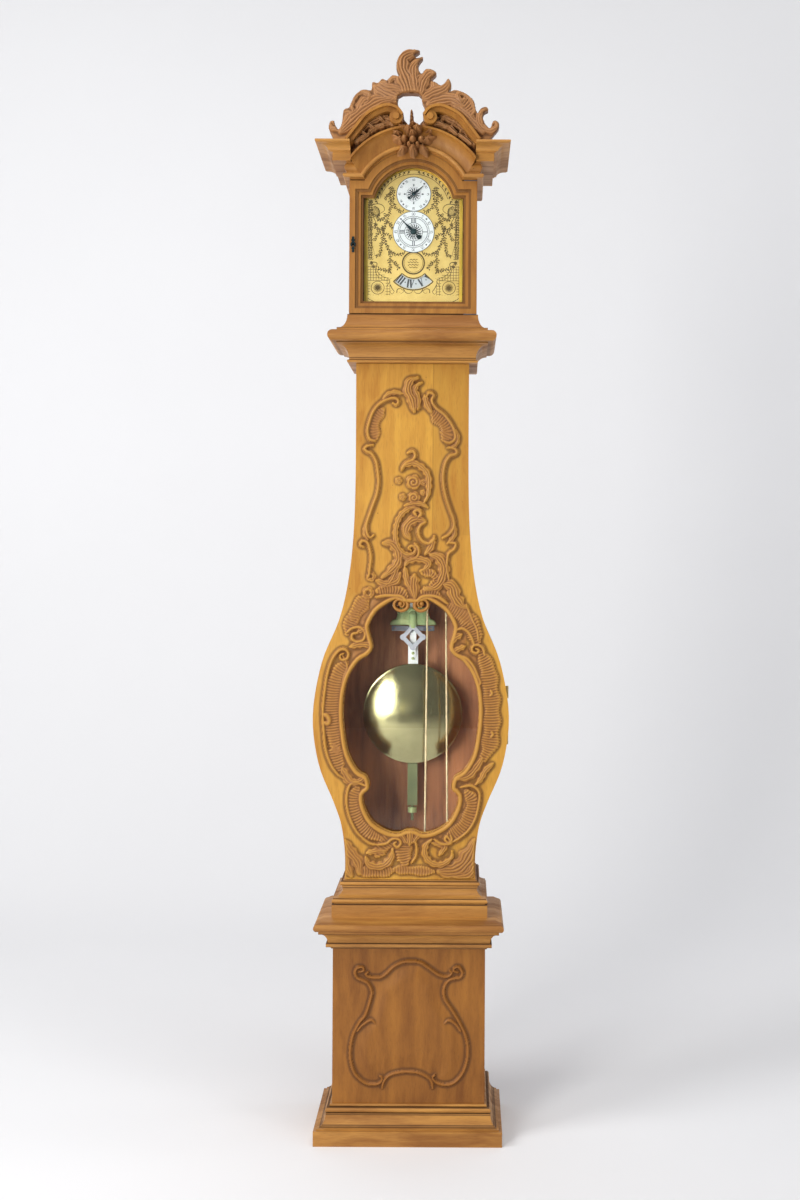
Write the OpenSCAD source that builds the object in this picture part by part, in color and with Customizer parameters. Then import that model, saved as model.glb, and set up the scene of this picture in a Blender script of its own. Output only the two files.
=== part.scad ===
// Longcase clock: a violin-shaped waist with one large glazed door, an arched hood under a
// scrolled and carved pediment, a dial with separate seconds, minutes and hours, and a
// weight-driven movement with a compensated pendulum.
// Millimetres. +Z is up, the front faces -Y, the origin is on the floor under the middle.

/* [Case widths] */
// Width of the plinth block on the floor
plinth_w = 360; // [335:1:420]
// Width of the base carcase
base_w = 293; // [280:1:315]
// Width of the waist above the belly
waist_w = 220; // [212:1:232]
// Width of the waist at the belly
belly_w = 382; // [350:1:400]
// Width of the waist where it stands on its foot
ankle_w = 254; // [244:1:262]
// Width of the hood carcase
hood_w = 248; // [242:1:260]

/* [Case depths] */
// Depth of the plinth block from the back
plinth_d = 236; // [228:1:290]
// Depth of the base carcase
base_d = 201; // [196:1:240]
// Depth of the waist with its door
waist_d = 165; // [162:1:185]
// Depth of the hood carcase with its door
hood_d = 179; // [176:1:200]

/* [Case heights] */
// Height of the plinth moulding
plinth_h = 71; // [66:1:90]
// Height of the plain base wall
base_h = 298; // [250:1:360]
// Height of the base cornice
slab_h = 56; // [56:1:64]
// Height of the foot moulding of the waist
foot_h = 69; // [69:1:80]
// Height of the waist door and its sides
waist_h = 1005; // [960:1:1200]
// Height of the throat moulding
throat_h = 60; // [60:1:70]
// Height of the hood's base moulding
hood_base_h = 33; // [33:1:40]
// Height of the arch centre above the hood's underside
arch_rise = 242; // [236:1:256]
// Height of the cornice's underside above the arch centre
cornice_rise = 85.7; // [84:0.1:94]
// Height of the cornice
cornice_h = 34; // [34:1:40]

/* [Boards] */
// Thickness of the base boards
board_t = 18; // [14:1:20]
// Thickness of the back board
back_t = 14; // [10:1:16]
// Thickness of the curved waist sides
stave_t = 12; // [9:1:13]
// Thickness of the waist door
door_t = 21.3; // [18:0.1:24]
// Thickness of the hood sides
hood_t = 10; // [8:0.5:11]
// Thickness of the hood door
hood_door_t = 20; // [18:0.5:22]
// Glass thickness
glass_t = 3; // [2:0.5:3]

/* [Dial] */
// Half width of the dial plate
dial_half = 96; // [90:1:96]
// Radius of the arch of the dial plate
dial_arch_r = 84; // [80:1:88]
// Radius of the seconds ring
seconds_r = 33.3; // [28:0.1:33.3]
// Radius of the minute ring
minute_r = 40.3; // [36:0.1:40.3]
// Radius of the turning hour disc
hour_r = 54.5; // [50:0.5:55]

/* [Movement] */
// Distance between the two movement plates
plate_gap = 42; // [40:1:44]
// Teeth of the great wheel
great_teeth = 96; // [84:4:96]
// Teeth of the centre wheel
centre_teeth = 64;
// Teeth of the third wheel
third_teeth = 60;
// Leaves of each pinion
pinion_leaves = 8;
// Teeth of the escape wheel
escape_teeth = 30;
// Pitch radius of the escape wheel
escape_r = 22; // [20:0.5:22]
// Radius of the barrel at the middle of the cord
winding_r = 33.6; // [30:0.1:33.6]
// Diameter of the weight cord
cord_d = 4.2; // [3:0.1:4.4]

/* [Pendulum] */
// Distance from the suspension to the middle of the bob
pendulum_l = 1056.7; // [1000:0.1:1080]
// Radius of the bob
bob_r = 100.5; // [80:0.5:104]
// Thickness of the bob
bob_t = 40; // [30:1:40]
// Swing to each side in degrees
swing = 2; // [1:0.5:2]

/* [Weight] */
// Radius of the weight
weight_r = 27; // [22:0.5:27]
// Height of the weight
weight_h = 187; // [120:1:220]
// Radius of the pulley at the middle of the cord
pulley_r = 23.5; // [20:0.5:24]

/* [Clearances] */
// Gap between the waist door and the frame round it
door_gap = 0.5; // [0.4:0.1:1]
// Gap between bodies that slide or swing past each other
lift_gap = 0.3; // [0.3:0.05:0.5]
// Radial clearance of a running shaft
run_gap = 0.05; // [0.02:0.01:0.1]

/* [Hidden] */

// Levels along Y, counted from the flush backs of the case
back_y = plinth_d / 2;
function from_back(d) = back_y - d;
base_y = from_back(base_d);
waist_y = from_back(waist_d);
hood_y = from_back(hood_d);
door_back = waist_y + door_t;
stave_y = door_back + lift_gap;
hood_door_back = hood_y + hood_door_t;
hood_side_y = hood_door_back + lift_gap;
back_in = back_y - back_t;

// Levels along Z
slab_z = plinth_h + base_h;
foot_z = slab_z + slab_h;
waist_z = foot_z + foot_h;
throat_z = waist_z + waist_h;
hood_z = throat_z + throat_h + lift_gap;
arch_z = hood_z + arch_rise;
cornice_z = arch_z + cornice_rise;
cornice_top = cornice_z + cornice_h;
slab_under = 38;
board_z = 10;
roof_z = cornice_z + 18;
roof_t = 10;

// Reach of helper solids past the case
core = 300;
span = 400;

// Wood, metal and glass
wood = "#c08a48";
light_wood = "#d2a05a";
dark_wood = "#8a5a34";
brass = "#c8a24a";
steel = "#8d9196";
blued = "#22262e";
silver = "#dcdfe2";
cord_colour = "#c9b690";

// Curves

function spline(a, b, c, d, t) = 0.5 * (2 * b + (c - a) * t + (2 * a - 5 * b + 4 * c - d) * t * t
  + (3 * b - a - 3 * c + d) * t * t * t);

// Smooth curve through open points, each gap cut into n steps
function smooth(p, n) = let (last = len(p) - 1) concat(
  [for (i = [0 : last - 1]) for (k = [0 : n - 1])
    spline(p[max(i - 1, 0)], p[i], p[i + 1], p[min(i + 2, last)], k / n)],
  [p[last]]);

// Smooth closed curve
function smooth_loop(p, n) = let (m = len(p))
  [for (i = [0 : m - 1]) for (k = [0 : n - 1])
    spline(p[(i + m - 1) % m], p[i], p[(i + 1) % m], p[(i + 2) % m], k / n)];

function reverse(p) = [for (i = [len(p) - 1 : -1 : 0]) p[i]];
function mirrored(p) = [for (i = [len(p) - 1 : -1 : 0]) [-p[i][0], p[i][1]]];

// Curve moved sideways, to the right of its direction for a positive d
function beside(p, d) = let (last = len(p) - 1) [for (i = [0 : last])
  let (a = p[max(i - 1, 0)], b = p[min(i + 1, last)], v = (b - a) / norm(b - a))
  [p[i][0] + d * v[1], p[i][1] - d * v[0]]];

// Hollow quarter curve between two points of a moulding
function cove(a, b) = [for (k = [0 : 8]) let (t = k * 90 / 8) b[0] > a[0]
  ? [a[0] + (b[0] - a[0]) * (1 - cos(t)), a[1] + (b[1] - a[1]) * sin(t)]
  : [a[0] + (b[0] - a[0]) * sin(t), a[1] + (b[1] - a[1]) * (1 - cos(t))]];

// Front outline of the waist: height as a share of the waist, reach as a share of the belly
ankle_share = (ankle_w - waist_w) / (belly_w - waist_w);
belly_share = 0.318;
flank = [[0, ankle_share], [0.05, ankle_share], [0.105, ankle_share + 0.09], [0.15, 0.49],
         [0.225, 0.86], [belly_share, 1], [0.42, 0.79], [0.5, 0.39], [0.57, 0.18],
         [0.66, 0.05], [0.78, 0], [1, 0]];
flank_curve = [for (p = smooth(flank, 5))
  [(waist_w + p[1] * (belly_w - waist_w)) / 2, waist_z + p[0] * waist_h]];
belly_z = waist_z + belly_share * waist_h;

// Half outline of the door's window, from the top between the scrolls down to the shell
window_half = [[16, 19], [31, 24], [49, 15], [68, 0], [82, -26], [80, -43], [74, -68], [84, -84],
               [101, -95], [119, -121], [129, -154], [132, -194], [129, -234], [121, -276],
               [103, -308], [85, -320], [80, -343], [92, -357], [89, -381], [73, -409],
               [46, -426], [24, -430], [8, -424]];
window_z = waist_z + 0.5194 * waist_h;
window_mid = [for (p = window_half) [p[0], p[1] + window_z - 1.5]];
window_loop = smooth_loop(concat(window_mid, mirrored(window_mid)), 3);

// Building blocks

// Slab between two levels along Y with its outline drawn in X and Z
module plate(y0, y1) {
  translate([0, y1, 0]) rotate([90, 0, 0]) linear_extrude(y1 - y0) children();
}

// Rod along Y
module rod(x, z, y0, y1, r) {
  translate([x, y1, z]) rotate([90, 0, 0]) cylinder(h = y1 - y0, r = r, $fn = 48);
}

module box(x0, x1, y0, y1, z0, z1) {
  translate([x0, y0, z0]) cube([x1 - x0, y1 - y0, z1 - z0]);
}

// Course of a moulding that stands out from the wall between two heights
module course(out, z0, z1) {
  translate([-core, z0]) square([core + out, z1 - z0]);
}

// Roll that reaches out to a given distance
module roll(out, z, r) {
  course(out - r, z - r, z + r);
  translate([out - r, z]) circle(r, $fn = 48);
}

// Cove or cavetto from one point of the profile up to another
module hollow_curve(a, b) {
  polygon(concat([[-core, a[1]]], cove(a, b), [[-core, b[1]]]));
}

// Moulding round the front and both sides of a box, mitred at the corners
module band(half_w, front_y) {
  intersection() {
    for (s = [0, 1]) mirror([s, 0, 0]) intersection() {
      translate([half_w, back_y, 0]) rotate([90, 0, 0]) linear_extrude(back_y - front_y + core)
        children();
      box(-1, span, -span, span, -span, span);
    }
    translate([-span, front_y, 0]) rotate([90, 0, 90]) linear_extrude(2 * span)
      mirror([1, 0]) children();
  }
}

// Room inside a band, open at the back
module inside(half_w, front_y, z0, z1) {
  box(-half_w, half_w, front_y, back_y + 1, z0, z1);
}

// Outline with a round arch on two shoulders, centred on the hood's arch
module arched(half_w, z0, shoulder_z, r) {
  translate([-half_w, z0]) square([2 * half_w, shoulder_z - z0]);
  intersection() {
    translate([0, arch_z]) circle(r, $fn = 120);
    translate([-half_w, z0]) square([2 * half_w, span]);
  }
}

// Toothed outline with a tooth on the X axis
module toothed(n, m) {
  r = n * m / 2;
  a = 360 / n;
  polygon([for (i = [0 : n - 1]) for (q = [[-0.27, -1.15], [-0.13, 0.8], [0.13, 0.8], [0.27, -1.15]])
    (r + q[1] * m) * [cos((i + q[0]) * a), sin((i + q[0]) * a)]]);
}

// Wheel with four arms, its bore left to the arbor
module wheel(n, m, hub_r, arm_w) {
  rim_r = n * m / 2 - 3.2 * m;
  difference() {
    toothed(n, m);
    difference() {
      circle(rim_r, $fn = 64);
      circle(hub_r, $fn = 32);
      square([2 * rim_r, arm_w], center = true);
      square([arm_w, 2 * rim_r], center = true);
    }
  }
}

// Flat piece turned in the plane of the dial and put at x, z between two levels of Y
module set_flat(x, z, y0, y1, turn) {
  plate(y0, y1) translate([x, z]) rotate(turn) children();
}

// Base

plinth_out = (plinth_w - base_w) / 2;
block_h = 28.5;

module plinth_profile() {
  course(plinth_out, 0, block_h);
  course(plinth_out - 6, block_h, block_h + 2.5);
  hollow_curve([plinth_out - 6, block_h + 2.5], [11.5, plinth_h - 17.5]);
  course(11.5, plinth_h - 17.5, plinth_h - 14.6);
  roll(12, plinth_h - 9.8, 4.9);
  roll(4.5, plinth_h - 2.5, 2.5);
}

module plinth_moulding() {
  color(wood) difference() {
    band(base_w / 2, base_y) plinth_profile();
    inside(base_w / 2, base_y, -1, plinth_h + 1);
  }
}

module base_front() {
  color(light_wood) box(-base_w / 2, base_w / 2, base_y, base_y + board_t, board_z, slab_z + slab_under);
}

module base_sides() {
  color(wood) for (s = [-1, 1]) {
    x = s * (base_w - board_t) / 2;
    box(x - board_t / 2, x + board_t / 2, base_y + board_t, back_in, board_z, slab_z + slab_under);
  }
}

module slab_profile() {
  roll(4.5, 3.2, 1.8);
  course(2.7, 0, 5);
  course(12.5, 5, 12);
  hollow_curve([9.2, 12], [26, 32.5]);
  course(26, 32.5, slab_under);
  roll(35, slab_under + 7.3, 7.3);
  polygon([[-core, slab_under + 14.6], [27.7, slab_under + 14.6], [19.5, slab_h], [-core, slab_h]]);
}

module base_cornice() {
  shaft = ankle_w / 2 - stave_t;
  color(wood) difference() {
    translate([0, 0, slab_z]) band(base_w / 2, base_y) slab_profile();
    inside(base_w / 2, base_y, slab_z - 1, slab_z + slab_under);
    inside(shaft, stave_y, slab_z, foot_z + 1);
  }
}

// Waist

foot_out = 23.5;

module foot_profile() {
  course(foot_out, 0, 24.5);
  roll(foot_out, 31.3, 4.4);
  course(foot_out - 4.4, 24.5, 27);
  course(foot_out - 2, 35.7, 37);
  hollow_curve([foot_out - 2, 37], [3, 54]);
  course(4.9, 54, 58.6);
  roll(8.8, 62.5, 3.9);
  course(3, 66.4, foot_h);
}

module waist_foot() {
  color(wood) difference() {
    translate([0, 0, foot_z]) band(ankle_w / 2, waist_y) foot_profile();
    inside(ankle_w / 2, waist_y, foot_z - 1, waist_z + 1);
  }
}

module back_board() {
  shaft = ankle_w / 2 - stave_t;
  right = concat([[base_w / 2, board_z], [base_w / 2, slab_z + slab_under], [shaft, slab_z + slab_under],
    [shaft, foot_z], [ankle_w / 2, foot_z]], flank_curve, [[waist_w / 2, roof_z - 15]]);
  color(dark_wood) plate(back_in, back_y) polygon(concat(right, mirrored(right)));
}

seat_z = hood_z + 34.7;
seat_t = 18;
lock_x = -82;
lock_z = waist_z + 0.5716 * waist_h;
bolt_h = 12;
bolt_y0 = door_back + 3;
bolt_y1 = door_back + 8;
hinge_r = 2.7;
hinge_x = belly_w / 2 - 3.3;
hinge_y = door_back - hinge_r;
hinge_in = belly_w / 2 - 16;
hinge_step = 45;
hinge_half = 12;
recess_y = hinge_y - 5.6;
recess_half = 0.07 * waist_h;
pin_r = 1.5;

module waist_sides() {
  outer = concat([[ankle_w / 2, foot_z]], flank_curve, [[waist_w / 2, seat_z]]);
  inner = [for (p = reverse(outer)) [p[0] - stave_t, p[1]]];
  color(wood) difference() {
    for (s = [0, 1]) mirror([s, 0, 0]) plate(stave_y, back_in) polygon(concat(outer, inner));
    box(-belly_w / 2, lock_x - 18, bolt_y0 - lift_gap, bolt_y1 + lift_gap,
        lock_z - bolt_h / 2 - 0.6, lock_z + bolt_h / 2 + 0.6);
    for (k = [-1, 1]) box(hinge_in, hinge_x + 9, stave_y - 1, 0, belly_z + k * hinge_step - hinge_half,
                          belly_z + k * hinge_step);
  }
}

module waist_rails() {
  color(wood) {
    box(-ankle_w / 2, ankle_w / 2, waist_y, stave_y, foot_z, waist_z);
    box(-waist_w / 2, waist_w / 2, waist_y, stave_y, throat_z, throat_z + throat_h);
  }
}

module throat_profile() {
  roll(16.8, 2.8, 2.75);
  course(13, 5.5, 9.3);
  hollow_curve([13, 9.3], [36, 35]);
  course(36, 35, 38);
  roll(52.2, throat_h - 11, 11);
}

module throat_moulding() {
  color(light_wood) difference() {
    translate([0, 0, throat_z]) band(waist_w / 2, waist_y) throat_profile();
    inside(waist_w / 2, waist_y, throat_z - 1, hood_z + 1);
  }
}

// Levels of the movement and the drive
dial_y = hood_door_back + 7.5;
dial_t = 1.5;
front_plate_y = dial_y + 18;
plate_t = 3;
gap_y = front_plate_y + plate_t;
back_plate_y = gap_y + plate_gap;
cord_y = dial_y + 43;
rod_y = dial_y + 98;
minute_z = arch_z - 43.1;
seconds_z = minute_z + 73.8;
hour_z = minute_z - 60.2;
barrel_z = minute_z - 74.2;
pallet_z = seconds_z + escape_r * sqrt(2);
bob_z = pallet_z - pendulum_l;
pulley_z = foot_z - 5;
anchor_x = 61;
pulley_x = 49.5;

module seat_board() {
  color(dark_wood) difference() {
    box(-waist_w / 2, waist_w / 2, stave_y, back_plate_y + 17, seat_z, seat_z + seat_t);
    translate([winding_r, cord_y, seat_z - 1]) cylinder(h = seat_t + 2, r = 7, $fn = 32);
    translate([anchor_x, cord_y, seat_z - 1]) cylinder(h = seat_t + 2, r = cord_d / 2 + 0.3, $fn = 32);
  }
}

module hinge_plates() {
  color(brass) for (k = [-1, 1]) {
    z0 = belly_z + k * hinge_step - hinge_half;
    difference() {
      union() {
        translate([hinge_x, hinge_y, z0]) cylinder(h = hinge_half - 0.2, r = hinge_r, $fn = 32);
        box(hinge_x - hinge_r, hinge_x - 1.6, hinge_y, 0, z0, z0 + hinge_half - 0.2);
        box(hinge_in, hinge_x - 1.6, stave_y + 1, 0, z0, z0 + hinge_half - 0.2);
      }
      translate([hinge_x, hinge_y, z0 - 1]) cylinder(h = hinge_half + 2, r = pin_r + run_gap, $fn = 32);
    }
  }
}

module waist_hinge_leaves() {
  color(brass) for (k = [-1, 1]) {
    z0 = belly_z + k * hinge_step + 0.2;
    translate([hinge_x, hinge_y, z0]) cylinder(h = hinge_half, r = hinge_r, $fn = 32);
    translate([hinge_x, hinge_y, z0 - hinge_half]) cylinder(h = hinge_half + 1, r = pin_r, $fn = 32);
    box(hinge_in, hinge_x, recess_y, hinge_y - 1.8, z0, z0 + hinge_half);
  }
}

module waist_door() {
  leaf = concat(flank_curve, mirrored(flank_curve));
  color(light_wood) difference() {
    plate(waist_y, door_back) intersection() {
      polygon(leaf);
      translate([-span, waist_z + door_gap]) square([2 * span, waist_h - 2 * door_gap]);
    }
    plate(waist_y - 1, door_back + 1) polygon(window_loop);
    plate(door_back - glass_t - 1.3, door_back + 1) offset(delta = 5) polygon(window_loop);
    rod(lock_x, lock_z, waist_y - 1, door_back + 1, 2.4);
    box(hinge_in, span, recess_y, door_back + 1, belly_z - recess_half, belly_z + recess_half);
  }
}

module waist_glass() {
  color("#bcd3d0", 0.35) plate(door_back - glass_t - 1.3, door_back - 1.3)
    offset(delta = 4.6) polygon(window_loop);
}

module waist_lock() {
  color(steel) difference() {
    box(lock_x - 24, lock_x + 12, door_back, door_back + 11, lock_z - 15, lock_z + 15);
    box(lock_x - 25, lock_x + 2, bolt_y0, bolt_y1, lock_z - bolt_h / 2 - lift_gap, lock_z + bolt_h / 2 + lift_gap);
    rod(lock_x, lock_z - 8.5, door_back - 1, door_back + 12, 1.8);
  }
}

module waist_bolt() {
  color(brass) box(lock_x - 23.7, lock_x + 1.5, bolt_y0 + lift_gap, bolt_y1 - lift_gap,
                   lock_z - bolt_h / 2, lock_z + bolt_h / 2);
}

// Hood

pivot_x = hood_w / 2 - 2;
pivot_y = hood_y + 3;
strap_t = 1.8;
hood_door_z = hood_z + hood_base_h + 0.4 + strap_t;
door_arch_r = 107.5;
shoulder_z = arch_z + 50.4;
head_z = shoulder_z + strap_t + 0.5;
bead_r = 4;
bead_ring_r = 115.3;
bead_z = arch_z + 58.7;
frieze_z = bead_z + bead_r;
hood_bolt_z = arch_z - 73.6;
hood_bolt_h = 8;
hood_bolt_y = hood_door_back + 3.5;

module hood_base_profile() {
  course(21.5, 0, 4.7);
  hollow_curve([19.5, 4.7], [2.5, hood_base_h]);
}

module hood_base() {
  color(light_wood) difference() {
    translate([0, 0, hood_z]) band(hood_w / 2, hood_y) hood_base_profile();
    inside(hood_w / 2 - hood_t - 2, hood_door_back, hood_z - 1, hood_z + hood_base_h + 1);
    translate([pivot_x, pivot_y, hood_z + hood_base_h - 8])
      cylinder(h = 9, r = pin_r + run_gap, $fn = 32);
  }
}

module hood_sides() {
  color(wood) difference() {
    for (s = [0, 1]) mirror([s, 0, 0])
      box(hood_w / 2 - hood_t, hood_w / 2, hood_side_y, back_y, hood_z + hood_base_h, roof_z);
    box(-hood_w / 2 + hood_t / 2, -hood_w / 2 + hood_t + 1, hood_bolt_y - lift_gap,
        hood_bolt_y + 4 + lift_gap, hood_bolt_z - hood_bolt_h / 2 - 0.5, hood_bolt_z + hood_bolt_h / 2 + 0.5);
  }
}

module hood_roof() {
  color(dark_wood) box(-hood_w / 2, hood_w / 2, hood_side_y, back_y, roof_z, roof_z + roof_t);
}

// Upper edge of the right swan neck, from the cornice to the scroll
neck = [[130, 3], [109, 30], [91, 51], [66, 65], [47, 69], [29, 63], [18.5, 50]];
neck_curve = [for (p = smooth(neck, 5)) [p[0], p[1] + cornice_top]];
scroll_x = 32.5;
scroll_z = cornice_top + 45;
neck_w = 13;

module hood_head() {
  rim = beside(neck_curve, -neck_w / 2);
  right = concat([[hood_w / 2, head_z], [hood_w / 2, cornice_top]], rim, [[0, scroll_z - 14]]);
  color(wood) difference() {
    plate(hood_y, hood_door_back) difference() {
      polygon(concat(right, mirrored(right)));
      translate([0, arch_z]) circle(door_arch_r + 0.7, $fn = 120);
      for (s = [0, 1]) mirror([s, 0]) translate([hood_w / 2, 0]) square([span, 3000]);
    }
    translate([pivot_x, pivot_y, head_z - 1]) cylinder(h = 9, r = pin_r + run_gap, $fn = 32);
  }
}

// Line where the arched mouldings meet the level ones
module arch_side(half_bottom, z0) {
  polygon([[-half_bottom, z0], [half_bottom, z0], [half_bottom + 75.7, z0 + 120], [-half_bottom - 75.7, z0 + 120]]);
}

// Ring of a profile drawn as radius and reach forwards, centred on the hood's arch
module arch_ring() {
  translate([0, hood_y, arch_z]) rotate([90, 0, 0]) rotate_extrude($fn = 120) children();
}

module bead_profile() {
  roll(12, 0, bead_r);
}

module hood_bead() {
  half = sqrt(bead_ring_r * bead_ring_r - 58.7 * 58.7);
  color(light_wood) {
    difference() {
      translate([0, 0, bead_z]) band(hood_w / 2, hood_y) bead_profile();
      inside(hood_w / 2, hood_y, bead_z - 10, bead_z + 10);
      plate(hood_y - 20, hood_y + 1) arch_side(half - bead_r, bead_z - bead_r);
    }
    intersection() {
      arch_ring() {
        translate([bead_ring_r - bead_r, 0]) square([2 * bead_r, 8]);
        translate([bead_ring_r, 8]) circle(bead_r, $fn = 32);
      }
      plate(hood_y - 20, hood_y) arch_side(half - bead_r, bead_z - bead_r);
    }
  }
}

frieze_h = cornice_z - frieze_z;
arch_edge_r = 152;

module frieze_profile() {
  course(5.5, 0, frieze_h);
  roll(8.8, frieze_h / 2, 11.4);
}

// Arch that coves forwards from the bead to its sharp outer edge
module frieze_ring() {
  r0 = bead_ring_r + bead_r;
  r1 = arch_edge_r;
  polygon(concat([[r0, 0]], [for (k = [0 : 8]) let (t = k * 90 / 8)
    [r0 + (r1 - 4 - r0) * sin(t), 5 + 20 * (1 - cos(t))]], [[r1, 25], [r1, 0]]));
}

module hood_frieze() {
  half = 104;
  color(wood) {
    difference() {
      translate([0, 0, frieze_z]) band(hood_w / 2, hood_y) frieze_profile();
      inside(hood_w / 2, hood_y, frieze_z - 1, cornice_z + 1);
      plate(hood_y - 40, hood_y + 1) arch_side(half - 0.01, frieze_z - 0.01);
    }
    difference() {
      intersection() {
        arch_ring() frieze_ring();
        plate(hood_y - 40, hood_y) arch_side(half, frieze_z);
      }
      for (s = [0, 1]) mirror([s, 0, 0])
        box(hood_w / 2 - 3, span, hood_y - 60, hood_y + 1, cornice_z, cornice_top);
    }
  }
}

cornice_inset = 19.5;

module cornice_profile() {
  course(32, 0, 16);
  course(36, 16, 18);
  hollow_curve([40, 18], [57, 28]);
  course(59, 28, 29.2);
  roll(63.5, cornice_h - 2.6, 2.6);
  course(60, 28, cornice_h);
}

module hood_cornice() {
  color(light_wood) difference() {
    translate([0, 0, cornice_z]) band(hood_w / 2, hood_y + cornice_inset) cornice_profile();
    inside(hood_w / 2, hood_y, cornice_z - 1, cornice_top + 1);
    box(-hood_w / 2 + 3, hood_w / 2 - 3, -span, hood_y + 1, cornice_z - 1, cornice_top + 1);
  }
}

module swan_necks() {
  full = concat(neck_curve, reverse(beside(neck_curve, -neck_w)));
  lip = concat(neck_curve, reverse(beside(neck_curve, -5)));
  color(light_wood) for (s = [0, 1]) mirror([s, 0, 0]) difference() {
    union() {
      plate(hood_y - 30, hood_y) polygon(full);
      plate(hood_y - 40, hood_y - 29) polygon(lip);
      rod(scroll_x, scroll_z, hood_y - 34, hood_y, neck_w);
      rod(scroll_x, scroll_z, hood_y - 42, hood_y - 33, 6.3);
    }
    box(hood_w / 2 - 3, span, -span, hood_y + 1, cornice_z, cornice_top);
  }
}

// Outline of the carved crest above the necks, left end to right end over the top
crest_top = [[-150, 0], [-156, 10], [-162, 24], [-160, 36], [-153, 39], [-150, 31], [-144, 22], [-137, 34],
             [-134, 59], [-124, 64], [-120, 72], [-112, 88], [-97, 99], [-81, 98], [-79, 113], [-68, 112],
             [-60, 120], [-51, 117], [-40, 127], [-27, 125], [-33, 140], [-31, 156], [-24, 168], [-12, 176],
             [0, 176], [12, 174], [2, 166], [6, 160], [18, 162], [10, 150], [10, 137], [16, 130], [24, 139],
             [36, 138], [44, 131], [38, 124], [34, 117], [42, 114], [52, 108], [60, 112], [67, 121],
             [73, 108], [68, 95], [78, 99], [90, 97], [104, 90], [116, 78], [120, 62], [124, 55],
             [130, 64], [140, 67], [144, 61], [136, 56], [134, 44], [140, 32], [148, 26], [154, 40],
             [163, 38], [165, 28], [158, 18], [148, 6], [144, 0]];
// Opening under the crest, closed below by the scrolls of the necks
crest_hole = [[20, 30], [22, 66], [17, 76], [16, 86], [10, 92], [-4, 93], [-20, 92], [-29, 87], [-31, 76],
              [-28, 65], [-20, 30]];

module crest() {
  rim = beside(neck_curve, -neck_w / 2);
  upper = [for (p = smooth(crest_top, 3)) [p[0], p[1] + cornice_top]];
  color(dark_wood) difference() {
    plate(hood_y - 25, hood_y - 5) difference() {
      polygon(concat(upper, rim, mirrored(rim)));
      translate([0, cornice_top]) polygon(crest_hole);
      translate([-span, cornice_top - 50]) square([2 * span, 50]);
      for (s = [0, 1]) mirror([s, 0]) polygon(concat(neck_curve, reverse(beside(neck_curve, -neck_w))));
    }
    for (s = [-1, 1]) rod(s * scroll_x, scroll_z, hood_y - 50, hood_y, neck_w);
  }
}

// Leaf outline pointing up from the origin
module leaf(length, width) {
  r = (length * length + width * width) / (4 * width);
  translate([0, length / 2]) intersection() {
    translate([r - width / 2, 0]) circle(r, $fn = 64);
    translate([width / 2 - r, 0]) circle(r, $fn = 64);
  }
}

bloom_z = cornice_top + 24;
bloom_y = hood_y - 30;

module pediment_flowers() {
  color(dark_wood) difference() {
    union() {
      plate(hood_y - 34, hood_y) translate([0, bloom_z]) circle(19, $fn = 48);
      translate([0, bloom_y, bloom_z]) sphere(15, $fn = 48);
      for (a = [-125, -90, -50, 50, 90, 125]) set_flat(0, bloom_z, hood_y - 31, hood_y - 24, a) leaf(43, 20);
      for (a = [-155, 180, 155]) set_flat(0, bloom_z, hood_y - 33, hood_y - 25, a) leaf(34, 18);
      translate([0, hood_y - 16, bloom_z + 10]) rotate_extrude($fn = 48)
        polygon([[0, 0], [9, 0], [9, 8], [5, 12], [7, 17], [3.5, 22], [5, 27], [2.2, 32], [3, 36], [0, 40]]);
    }
    plate(hood_y - 25, hood_y + 1) translate([0, arch_z]) circle(arch_edge_r, $fn = 120);
    for (s = [0, 1]) mirror([s, 0, 0]) {
      plate(hood_y - 50, hood_y + 1) polygon(concat(neck_curve, reverse(beside(neck_curve, -neck_w))));
      rod(scroll_x, scroll_z, hood_y - 50, hood_y + 1, neck_w + 0.1);
    }
  }
}

module sight(grow) {
  arched(97.4 + grow, hood_z + 59.7 - grow, arch_z + 19.4 + grow, 78.5 + grow);
}

module hood_door() {
  color(wood) difference() {
    plate(hood_y, hood_door_back) arched(hood_w / 2 - 0.3, hood_door_z, shoulder_z, door_arch_r);
    plate(hood_y - 1, hood_y + 2.5) sight(15);
    plate(hood_y - 1, hood_y + 5) sight(10);
    plate(hood_y - 1, hood_y + 8.5) sight(4.5);
    plate(hood_y - 1, hood_door_back + 1) sight(0);
    plate(hood_door_back - glass_t - 2, hood_door_back + 1) sight(4);
    rod(-hood_w / 2 + 7.7, hood_bolt_z, hood_y - 1, hood_door_back + 1, 2);
  }
}

module hood_glass() {
  color("#bcd3d0", 0.35) plate(hood_door_back - glass_t - 2, hood_door_back - 2) sight(3.6);
}

module hood_straps() {
  color(steel) for (top = [0, 1]) {
    z0 = top ? shoulder_z : hood_door_z - strap_t;
    box(pivot_x - 24, pivot_x + 1.7, hood_y + 0.5, hood_y + 8, z0, z0 + strap_t);
    translate([pivot_x, pivot_y, top ? z0 : z0 - 7]) cylinder(h = 7 + strap_t, r = pin_r, $fn = 32);
  }
}

module hood_escutcheon() {
  x = -hood_w / 2 + 7.7;
  color(blued) difference() {
    plate(hood_y - 1.5, hood_y) {
      translate([x, hood_bolt_z]) circle(5.2, $fn = 32);
      translate([x, hood_bolt_z + 8]) circle(3.6, $fn = 32);
      translate([x, hood_bolt_z + 13]) circle(2.4, $fn = 32);
      translate([x, hood_bolt_z - 8]) circle(3.2, $fn = 32);
      translate([x, hood_bolt_z - 13]) circle(2.6, $fn = 32);
      translate([x - 1.6, hood_bolt_z - 13]) square([3.2, 26]);
    }
    rod(x, hood_bolt_z, hood_y - 2, hood_y + 1, 2);
    box(x - 0.8, x + 0.8, hood_y - 2, hood_y + 1, hood_bolt_z - 5, hood_bolt_z);
  }
}

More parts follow.
